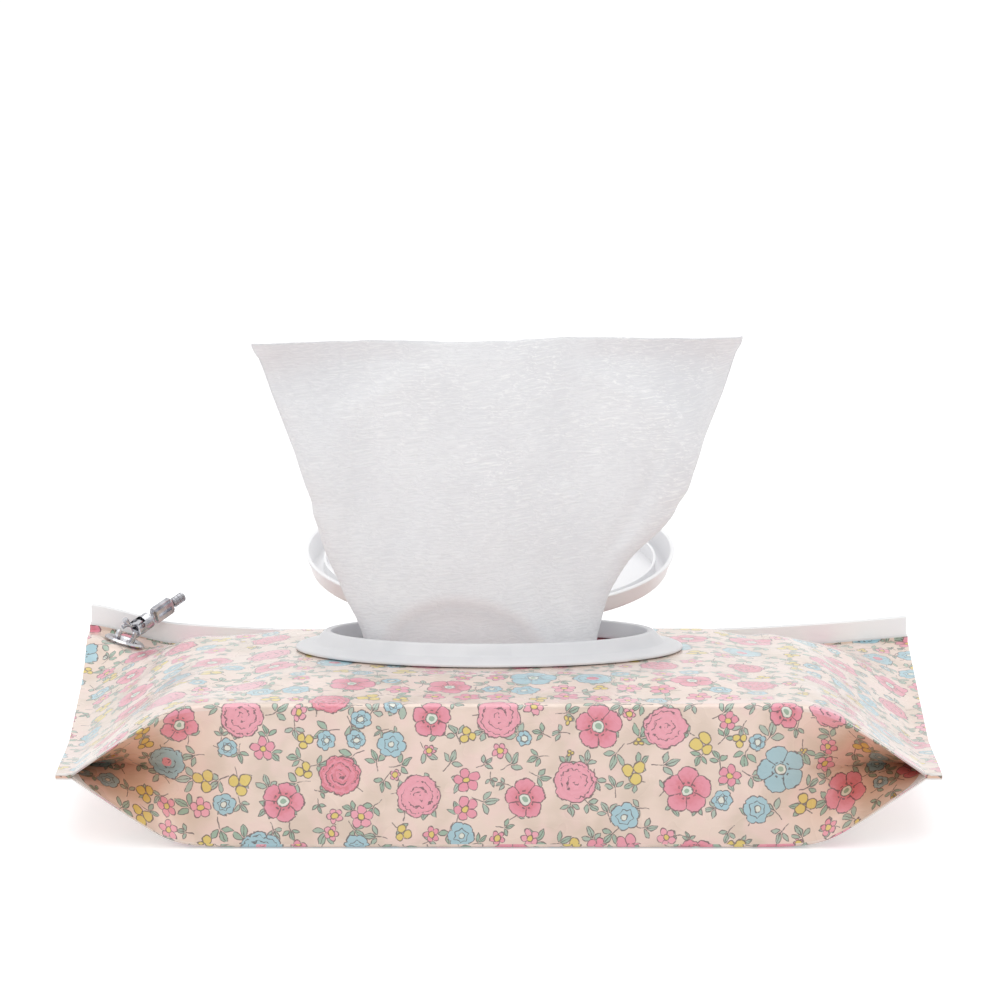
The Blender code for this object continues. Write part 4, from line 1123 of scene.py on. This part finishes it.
@dataclass
class LidRing:
    """The oval lid base and its flip lid, which share one oval."""

    pouch: Pouch
    half_x: float = 44.5 * MM
    half_y: float = 20 * MM
    base: float = 42.1 * MM
    rim_width: float = 2.2 * MM
    rim_height: float = 5.0 * MM
    foot: float = 4.8 * MM
    foot_height: float = 1.9 * MM
    flange: float = 10 * MM
    edge: float = 0.6 * MM
    film_inset: float = 1.0 * MM
    thumb: float = 6 * MM
    thumb_depth: float = 0.8 * MM
    hinge_setback: float = 1.6 * MM
    hinge_height: float = 2.6 * MM
    hinge_half: float = 23 * MM
    bead: float = 0.6 * MM
    leaf: float = 0.8 * MM
    lid_grow: float = 9.4 * MM
    lid_wall: float = 1.2 * MM
    lid_height: float = 8.4 * MM
    lid_draft: float = 1.6 * MM
    lid_round: float = 3.4 * MM
    tab_half: float = 8 * MM
    tab_reach: float = 2.6 * MM
    open_angle: float = math.radians(153)
    segments: int = 168

    def oval(self, grow: float, z: float, centre: tuple[float, float] | None = None) -> list[Point]:
        """One oval loop at a distance outside the mouth."""
        cx, cy = centre or (self.pouch.ring_x, self.pouch.ring_y + self.pouch.origin_y)
        points = []
        for index in range(self.segments):
            angle = 2 * math.pi * index / self.segments
            points.append((
                cx + (self.half_x + grow) * math.cos(angle), cy + (self.half_y + grow) * math.sin(angle), z
            ))
        return points

    def mouth_tool(self) -> bpy.types.Object:
        """A prism of the hole that the mouth needs in the film."""
        low, high = self.base - 8 * MM, self.base + self.rim_height
        return loft("mouth_tool", [self.oval(-self.film_inset, low), self.oval(-self.film_inset, high)])

    def rounded(
        self, corners: list[tuple[float, float]], size: float, steps: int = 3
    ) -> list[tuple[float, float]]:
        """Round each corner of a closed outline."""
        made = []
        count = len(corners)
        for index in range(count):
            before, here, after = (Vector(corners[(index + k) % count]) for k in (-1, 0, 1))
            back, ahead = before - here, after - here
            near = min(size, back.length * 0.4, ahead.length * 0.4)
            start, end = here + back.normalized() * near, here + ahead.normalized() * near
            for step in range(steps + 1):
                share = step / steps
                bent = start * (1 - share) ** 2 + here * 2 * share * (1 - share) + end * share ** 2
                made.append((bent.x, bent.y))
        return made

    def build_base(self, material: bpy.types.Material) -> None:
        """Build the ring with its sloping flange, collar, rim and hinge rail."""
        corners = [
            (0, 0), (self.flange, 0), (self.flange, self.edge), (self.flange - self.edge, self.edge * 1.7),
            (self.foot, self.foot_height), (self.rim_width, self.rim_height - 0.4 * MM),
            (self.rim_width - 0.4 * MM, self.rim_height), (0, self.rim_height),
        ]
        loops = [self.oval(grow, self.base + z) for grow, z in self.rounded(corners, 0.5 * MM)]
        ring = loft("lid_ring", loops, ring=True)
        centre_y = self.pouch.ring_y + self.pouch.origin_y
        rail_rear = centre_y + self.half_y + self.flange + self.hinge_setback + self.bead
        rail_front = centre_y + self.half_y + self.flange - 2 * MM
        rail_top = self.base + self.hinge_height - self.bead - self.pouch.gap
        rail = self.block(
            "rail", (self.pouch.ring_x - self.hinge_half, rail_front, self.base),
            (self.pouch.ring_x + self.hinge_half, rail_rear, rail_top), 0.3 * MM,
        )
        low, high = self.base + self.edge * 2.6, self.base + self.rim_height
        cut(rail, loft("skirt_path", [self.oval(self.lid_grow + self.pouch.gap, z) for z in (low, high)]))
        self.join(ring, rail)
        cut(ring, self.notch_tool(centre_y - self.half_y))
        ring.data.set_sharp_from_angle(angle=math.radians(32))
        dress(ring, Slot.LID, material)
        place_piece(ring, "pouch", "lid_base")

    def notch_tool(self, mouth_front: float) -> bpy.types.Object:
        """A prism that lowers the collar's sloping face over the thumb's width."""
        low, high = self.foot_height + 0.3 * MM, self.rim_height + MM
        slope = (self.foot - self.rim_width) / (self.rim_height - self.foot_height)
        deep = self.foot - self.thumb_depth
        sides = [
            (deep, low), (self.foot + MM, low), (self.foot + MM, high), (deep - slope * (high - low), high),
        ]
        loops = []
        for x in (self.pouch.ring_x - self.thumb, self.pouch.ring_x + self.thumb):
            loops.append([(x, mouth_front - grow, self.base + z) for grow, z in sides])
        return loft("notch_tool", loops)

    def block(self, name: str, low: Point, high: Point, bevel: float) -> bpy.types.Object:
        """A small block between two corners, with rounded edges."""
        bm = bmesh.new()
        bmesh.ops.create_cube(bm, size=1.0)
        low, high = Vector(low), Vector(high)
        bmesh.ops.scale(bm, vec=high - low, verts=bm.verts)
        bmesh.ops.translate(bm, vec=(low + high) / 2, verts=bm.verts)
        if bevel:
            bmesh.ops.bevel(bm, geom=bm.edges, offset=bevel, segments=3, affect="EDGES")
        return add_object(name, bm)

    def join(self, item: bpy.types.Object, tool: bpy.types.Object) -> None:
        """Unite a piece with a tool, which is dropped."""
        modifier = item.modifiers.new("join", "BOOLEAN")
        modifier.operation = "UNION"
        modifier.solver = "EXACT"
        modifier.object = tool
        bake(item)
        bpy.data.objects.remove(tool, do_unlink=True)

    @staticmethod
    def shoulder(grow: float, top: float, radius: float, angle: float) -> tuple[float, float]:
        """A point of the lid's rounded shoulder, from 0 on its flat top to a right angle at its side."""
        return grow - radius * (1 - math.sin(angle)), top - radius * (1 - math.cos(angle))

    def build_lid(self, material: bpy.types.Material) -> None:
        """Build the lid shut around its hinge line, then turn it open."""
        hinge_y = self.pouch.ring_y + self.half_y + self.flange + self.hinge_setback
        centre = (0.0, self.pouch.ring_y - hinge_y)
        low = self.edge * 1.7 + 0.6 * MM - self.hinge_height
        top = low + self.lid_height
        under = top - self.lid_wall
        rib_in = self.rim_width + 0.9 * MM
        rib_out = rib_in + 0.9 * MM
        rib_low = under - 4.4 * MM
        inside = self.lid_round - self.lid_wall
        top_grow = self.lid_grow - self.lid_draft
        start = math.asin(max(1 - (top_grow - self.lid_wall - rib_out) / inside, 0))
        middle = -(self.half_y - 2 * MM)
        dome = 0.25 * MM
        outline = [(middle, under + dome), (rib_in - 8 * MM, under + dome * 0.5), (rib_in, under),
                   (rib_in + 0.1 * MM, rib_low), (rib_out - 0.1 * MM, rib_low)]
        if start == 0:
            outline.append((rib_out, under))
        quarter = math.pi / 2
        for index in range(7):
            angle = start + (quarter - start) * index / 6
            outline.append(self.shoulder(top_grow - self.lid_wall, under, inside, angle))
        skirt = self.lid_grow - self.lid_wall
        outline += [(skirt, low + 0.1 * MM), (skirt + 0.2 * MM, low)]
        outline += [(self.lid_grow - 0.2 * MM, low), (self.lid_grow, low + 0.2 * MM)]
        for index in range(9):
            outline.append(self.shoulder(top_grow, top, self.lid_round, quarter - quarter * index / 8))
        outline += [(rib_in - 8 * MM, top + dome * 0.5), (middle, top + dome)]
        lid = loft("flip_lid", [self.oval(grow, z, centre) for grow, z in outline])

        rear = centre[1] + self.half_y + self.lid_grow
        leaf = self.block(
            "leaf", (-self.hinge_half, rear - self.lid_wall / 2 - self.lid_draft / 2, -self.leaf / 2),
            (self.hinge_half, 0.0, self.leaf / 2), 0,
        )
        bm = bmesh.new()
        turn = Matrix.Rotation(math.pi / 2, 4, "Y")
        bmesh.ops.create_cone(
            bm, cap_ends=True, segments=28, radius1=self.bead, radius2=self.bead, depth=2 * self.hinge_half,
            matrix=turn,
        )
        self.join(leaf, add_object("bead", bm))
        hollow = [self.oval(self.lid_grow - self.lid_wall - 0.2 * MM, z, centre) for z in (low - MM, under)]
        cut(leaf, loft("hollow", hollow))
        self.join(lid, leaf)
        front = centre[1] - self.half_y - self.lid_grow
        tab = self.block(
            "tab", (-self.tab_half, front - self.tab_reach, low + 0.2 * MM),
            (self.tab_half, front + self.lid_wall / 2, low + 0.2 * MM + self.lid_wall), 0.4 * MM,
        )
        self.join(lid, tab)
        lid.data.set_sharp_from_angle(angle=math.radians(32))
        hinge = (self.pouch.ring_x, hinge_y + self.pouch.origin_y, self.base + self.hinge_height)
        lid.matrix_world = Matrix.Translation(hinge) @ Matrix.Rotation(-self.open_angle, 4, "X")
        dress(lid, Slot.LID, material)
        place_piece(lid, "lid", "lid")


@dataclass
class PulledWipe:
    """The wipe drawn up through the mouth. Height runs from 0 at its neck to 1 at its top edge.

    Each side edge is a list of heights, with the distance in millimetres from the pouch's middle line
    to the edge, as measured in the photograph. Each fold is its place across the sheet, its lean
    towards the top, its width and its depth.
    """

    pouch: Pouch
    width: float = 140 * MM
    base: float = 40.9 * MM
    tucked: float = 39.0 * MM
    top: float = 131 * MM
    thickness: float = 0.35 * MM
    front: float = 56.0 * MM
    lean: float = 9 * MM
    top_slope: float = 1.6 * MM
    left_edge: tuple = (
        (0.0, 36.3), (0.06, 38.2), (0.113, 40.1), (0.169, 42.9), (0.216, 44.6), (0.303, 48.3), (0.387, 50.8),
        (0.433, 52.2), (0.467, 52.6), (0.511, 54.1), (0.573, 56.4), (0.722, 61.2), (0.852, 65.3), (1.0, 69.1),
    )
    right_edge: tuple = (
        (0.0, 26.8), (0.06, 27.7), (0.113, 28.9), (0.169, 30.3), (0.216, 32.3), (0.303, 37.6), (0.387, 45.6),
        (0.433, 48.9), (0.467, 50.4), (0.511, 53.0), (0.573, 54.9), (0.722, 60.1), (0.852, 64.6), (1.0, 68.1),
    )
    bend: float = 18 * MM
    curl_left: float = math.radians(168)
    curl_right: float = math.radians(159)
    collar: float = 0.12
    bow: float = 0.34
    neck_wave: float = 0.06
    free_wave: float = 0.36
    held_wave: float = 0.3
    wavelength: float = 62 * MM
    gather_pitch: float = 9.5 * MM
    folds: tuple = (
        (42 * MM, 24 * MM, 2.8 * MM, 1.3 * MM), (5 * MM, -34 * MM, 5 * MM, 1.1 * MM),
        (22 * MM, -14 * MM, 4.5 * MM, 1.1 * MM), (-24 * MM, 16 * MM, 6 * MM, 1.0 * MM),
        (-40 * MM, -12 * MM, 4 * MM, 0.9 * MM),
    )
    columns: int = 132
    rows: int = 90

    @staticmethod
    def reach(edge: tuple, height: float) -> float:
        """How far one side's outline stands from the middle at a height.

        Args:
            edge: Pairs of a height from 0 to 1 and a distance in millimetres.
            height: The height asked for, from 0 to 1.

        Returns:
            The distance in metres, on a smooth curve through the pairs.
        """
        last = len(edge) - 1
        index = next((k for k in range(last) if height <= edge[k + 1][0]), last - 1)
        (low, start), (high, end) = edge[index], edge[index + 1]
        before = edge[max(index - 1, 0)]
        after = edge[min(index + 2, last)]
        slope_start = (end - before[1]) / (high - before[0])
        slope_end = (after[1] - start) / (after[0] - low)
        span = high - low
        t = (height - low) / span
        return MM * (
            start * (2 * t ** 3 - 3 * t ** 2 + 1) + slope_start * span * (t ** 3 - 2 * t ** 2 + t)
            + end * (3 * t ** 2 - 2 * t ** 3) + slope_end * span * (t ** 3 - t ** 2)
        )

    def half_width(self, height: float) -> float:
        """Half width of the front view at a height."""
        return (self.reach(self.left_edge, height) + self.reach(self.right_edge, height)) / 2

    def shift(self, height: float) -> float:
        """Middle of the front view at a height, to the right of the pouch's middle."""
        return (self.reach(self.right_edge, height) - self.reach(self.left_edge, height)) / 2

    def line(self, height: float, start: float) -> list[tuple[float, float]]:
        """Plan line at one height, whose sides turn back from a start on each side."""
        steps = self.columns // 2
        piece = self.width / 2 / steps
        wave = self.neck_wave + (self.free_wave - self.neck_wave) * smoothstep(height / 0.75)
        wave -= (self.free_wave - self.held_wave) * smoothstep((height - 0.75) / 0.25)
        halves = []
        for side, neck_curl in ((-1, self.curl_left), (1, self.curl_right)):
            x = y = 0.0
            points = []
            above = max(height - self.collar, 0) / (1 - self.collar)
            curl = neck_curl * (1 - above) ** 0.9
            for index in range(steps):
                along = piece * (index + 0.5)
                bow = self.bow * (1 - height) * min(along / start, 1.0)
                turn = bow + (curl - bow) * smoothstep((along - start) / self.bend)
                turn += wave * math.sin(along * side * 2 * math.pi / self.wavelength + 0.8 * height) * side
                x += piece * math.cos(turn) * side
                y += piece * math.sin(turn)
                points.append((x, y))
            halves.append(points)
        return list(reversed(halves[0])) + [(0.0, 0.0)] + halves[1]

    def row(self, height: float) -> list[tuple[float, float]]:
        """Plan line at one height, turned back where it gives the wanted half width."""
        target = self.half_width(height)
        low, high = self.bend / 2, self.width / 2
        for _ in range(24):
            middle = (low + high) / 2
            points = self.line(height, middle)
            reach = (max(x for x, _ in points) - min(x for x, _ in points)) / 2
            if reach < target:
                low = middle
            else:
                high = middle
        return self.line(height, (low + high) / 2)

    def relief(self, along: float, height: float) -> float:
        """Soft folds, gathers at the neck and a dent low in the middle, as a depth to the rear."""
        gather = math.sin(along * 2 * math.pi / self.gather_pitch + 2.2 * height)
        gather *= 1 - smoothstep(height / 0.5)
        gather *= 0.35 * MM * (0.5 + 0.5 * noise.noise(Vector((along * 60, height * 3, 4.0))))
        folds = 0.0
        for centre, lean, width, depth in self.folds:
            distance = (along - centre - lean * (height - 0.5)) / width
            folds += depth * math.exp(-distance * distance) * math.sin(math.pi * min(height * 1.15, 1.0))
        arch = ((along + 5 * MM) / (21 * MM)) ** 2 + (height * (self.top - self.base) / (16 * MM)) ** 2
        dent = 1.6 * MM * (1 - smoothstep((arch - 0.5) / 0.7))
        slow = noise.noise(Vector((along * 28, height * 3.4, 1.5))) * 0.8 * MM * smoothstep(height / 0.2)
        return gather + folds + dent + slow

    def build(self, material: bpy.types.Material) -> bpy.types.Object:
        """Build, thicken and dress the wipe."""
        sheet = Sheet("pulled_wipe_cloth")
        piece = self.width / self.columns
        for index in range(self.rows + 1):
            height = index / self.rows
            points = self.row(height)
            xs = [x for x, _ in points]
            nearest = min(y for _, y in points)
            third = len(points) // 3
            middle = sum(y for _, y in points[third:-third]) / (len(points) - 2 * third)
            free = smoothstep(height / 0.5)
            shift_x = self.shift(height) - (min(xs) + max(xs)) / 2
            shift_y = self.front + self.lean * height - nearest * (1 - free) - middle * free
            z = self.base + (self.top - self.base) * height
            row, places = [], []
            for place, (x, y) in enumerate(points):
                along = (place - self.columns // 2) * piece
                front = smoothstep((self.half_width(height) * 0.9 - abs(x)) / (8 * MM))
                ragged = 0.4 * MM * noise.noise(Vector((along * 130, 0.0, 7.0)))
                ragged *= smoothstep((height - 0.97) / 0.03)
                dent = self.relief(along, height) * front
                drop = self.top_slope * smoothstep(0.5 - x / self.width) * smoothstep((height - 0.6) / 0.4)
                row.append((x + shift_x, y + shift_y + dent + self.pouch.origin_y, z + ragged - drop))
                places.append((along, height * (self.top - self.base)))
            sheet.add(row, places)
        wipe = sheet.mesh()
        thicken(wipe, self.thickness, 0.0)
        dress(wipe, Slot.WIPE, material)
        place_piece(wipe, "pouch", "pulled_wipe")
        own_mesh(wipe)
        return wipe


@dataclass
class FoldedWipes:
    """The pad of folded wipes inside the pouch."""

    pouch: Pouch
    half_x: float = 71 * MM
    half_y: float = 50 * MM
    base: float = 0.9 * MM
    height: float = 38 * MM
    crown: float = 1.7 * MM
    layers: int = 16

    def build(self, material: bpy.types.Material) -> None:
        """Build the pad with a soft fold edge for each layer."""
        loops = []
        pitch = (self.height - 2 * MM) / self.layers
        levels = [(3 * MM, 0.0), (1.2 * MM, 0.4 * MM), (0.4 * MM, MM)]
        for layer in range(self.layers):
            level = MM + pitch * layer
            proud = 0.25 * MM * noise.noise(Vector((layer * 3.7, 0.5, 0.0)))
            levels += [(0.3 * MM + proud, level + pitch * 0.3), (0.3 * MM + proud, level + pitch * 0.7),
                       (0.8 * MM, level + pitch)]
        levels += [(2.5 * MM, self.height - 0.2 * MM), (10 * MM, self.height + self.crown * 0.5),
                   (24 * MM, self.height + self.crown)]
        for inset, z in levels:
            loops.append(self.outline(max(inset, 0.05 * MM), self.base + z))
        pad = loft("folded_wipes", loops, angle=70)
        dress(pad, Slot.WIPE, material)
        place_piece(pad, "pouch", "wipes_stack")

    def outline(self, inset: float, z: float) -> list[Point]:
        """A rectangle with round corners and slightly uneven sides."""
        radius = max(8 * MM - inset * 0.3, 3 * MM)
        half_x, half_y = self.half_x - inset, self.half_y - inset
        points = []
        for side_x, side_y, start in ((1, 1, 0), (-1, 1, 90), (-1, -1, 180), (1, -1, 270)):
            for index in range(9):
                angle = math.radians(start + 90 * index / 8)
                points.append((
                    side_x * (half_x - radius) + radius * math.cos(angle),
                    side_y * (half_y - radius) + radius * math.sin(angle),
                    z,
                ))
        return points


@dataclass
class Hardware:
    """The eyelet and the snap hook, which stay as their CAD nodes with better finishes."""

    chrome_nodes: tuple = ("eyelet", "eyelet_washer", "hook_body", "hook_trigger", "strap_loop")
    steel_nodes: tuple = ("loop_ferrule", "trigger_pin", "trigger_spring")

    def build(self, chrome: bpy.types.Material, steel: bpy.types.Material) -> None:
        """Weld the imported faces for smooth shading and dress each node."""
        for names, slot, material in (
            (self.chrome_nodes, Slot.CHROME, chrome), (self.steel_nodes, Slot.STEEL, steel)
        ):
            for name in names:
                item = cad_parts[name]
                weld = item.modifiers.new("weld", "WELD")
                weld.merge_threshold = 0.002 * MM
                dress(item, slot, material)
                log.info("%s keeps its CAD shape", name)


@dataclass
class Studio:
    """A pale floor, a white surround, soft lamps and the camera."""

    eye: Point = (0.31 * MM, -1585.4 * MM, 349.5 * MM)
    pitch: float = 0.16399
    focal: float = 5790 / 1000 * 36
    ambient: float = 0.72

    def build(self) -> None:
        """Make the whole set."""
        self.floor()
        self.surround()
        self.lamps()
        self.camera()

    def floor(self) -> None:
        """A large pale floor under the pouch, white where the camera sees past it."""
        bm = bmesh.new()
        bmesh.ops.create_grid(bm, x_segments=1, y_segments=1, size=6.0)
        item = add_object("floor", bm)
        item.location.z = -0.0002
        graph = Graph("pale_floor")
        cloud = graph.noise(graph.place(), 3.0, 2.0)
        graph.set(
            Base_Color=graph.mix(cloud * 0.3, srgb(244, 244, 245), srgb(238, 238, 240)),
            Roughness=0.85,
            Emission_Color=graph.mix(self.seen(graph), (0.0, 0.0, 0.0, 1.0), (1.0, 1.0, 1.0, 1.0)),
            Emission_Strength=0.4,
        )
        item.data.materials.append(graph.material)

    def seen(self, graph: Graph) -> Value:
        """1 for rays that are seen, mirrored or seen through, and 0 for light."""
        rays = graph.node("ShaderNodeLightPath").outputs
        straight = Value(graph, rays["Is Camera Ray"])
        return straight.most(rays["Is Glossy Ray"]).most(rays["Is Transmission Ray"])

    def surround(self) -> None:
        """White where seen, mirrored or seen through, and softer as a light."""
        world = bpy.data.worlds.new("studio")
        bpy.context.scene.world = world
        world.use_nodes = True
        graph = Graph.of_tree(world.node_tree)
        background = world.node_tree.nodes["Background"]
        graph.feed(background.inputs["Color"], (1.0, 1.0, 1.0, 1.0))
        graph.feed(background.inputs["Strength"], self.seen(graph) * (1 - self.ambient) + self.ambient)

    def lamps(self) -> None:
        """Large soft lamps: above, behind the camera, and at both sides."""
        for name, place, size, power in (
            ("top_lamp", (0.0, 0.2, 1.2), 1.0, 3.3),
            ("front_lamp", (-0.2, -1.7, 1.7), 1.4, 6.2),
            ("left_lamp", (-1.1, -0.5, 0.7), 0.8, 1.4),
            ("right_lamp", (1.1, -0.4, 0.6), 0.8, 1.2),
        ):
            data = bpy.data.lights.new(name, "AREA")
            data.shape = "DISK"
            data.size = size
            data.energy = power
            lamp = bpy.data.objects.new(name, data)
            lamp.location = place
            lamp.rotation_euler = (Vector((0, 0, 0.05)) - Vector(place)).to_track_quat("-Z", "Y").to_euler()
            bpy.context.scene.collection.objects.link(lamp)

    def camera(self) -> None:
        """The camera at the photograph's viewing angle."""
        data = bpy.data.cameras.new("camera")
        data.sensor_width = 36
        data.lens = self.focal
        data.clip_end = 50
        camera = bpy.data.objects.new("camera", data)
        camera.location = self.eye
        camera.rotation_euler = (math.pi / 2 - self.pitch, 0, 0)
        bpy.context.scene.collection.objects.link(camera)
        bpy.context.scene.camera = camera
        bpy.context.scene.view_settings.view_transform = "Standard"


def main() -> None:
    """Build every sub-assembly in order and report it."""
    logging.basicConfig(level=logging.INFO, format="%(name)s: %(message)s")
    Studio().build()
    pouch = Pouch()
    ring = LidRing(pouch)
    white = MouldedPlastic("lid_white").material()
    # The lid is the ring's white plastic painted lighter: painted light for the light that shines through it,
    # lifting the shade that the wipe casts on it.
    lid_white_painted_light = MouldedPlastic("lid_painted_light", srgb(253, 253, 254), srgb(248, 248, 250), 0.36, depth=0.06)
    clear = MouldedPlastic("zip_clear", srgb(255, 255, 255), srgb(252, 253, 254), 0.34, 0.1, 0.0)
    printed = PrintedFilm().material()
    # The front panel's material carries painted shade in its folds.
    folded = PrintedFilm("printed_film_front", paint_gusset_shade=True).material()
    pouch.build(printed, folded, PlainFilm().material(), ring.mouth_tool())
    PressZip(pouch).build(clear.material())
    ring.build_base(white)
    ring.build_lid(lid_white_painted_light.material())
    FoldedWipes(pouch).build(Nonwoven("stack_cloth", mapped=False).material())
    # The pulled wipe's colour carries painted shade in the arch of its dent.
    PulledWipe(pouch).build(Nonwoven("wipe_cloth", painted_dent_shade=srgb(232, 218, 216)).material())
    steel = PolishedMetal("hook_steel", srgb(168, 168, 172), srgb(130, 130, 136), 0.26)
    Hardware().build(PolishedMetal("hook_chrome").material(), steel.material())


if __name__ == "__main__":
    main()
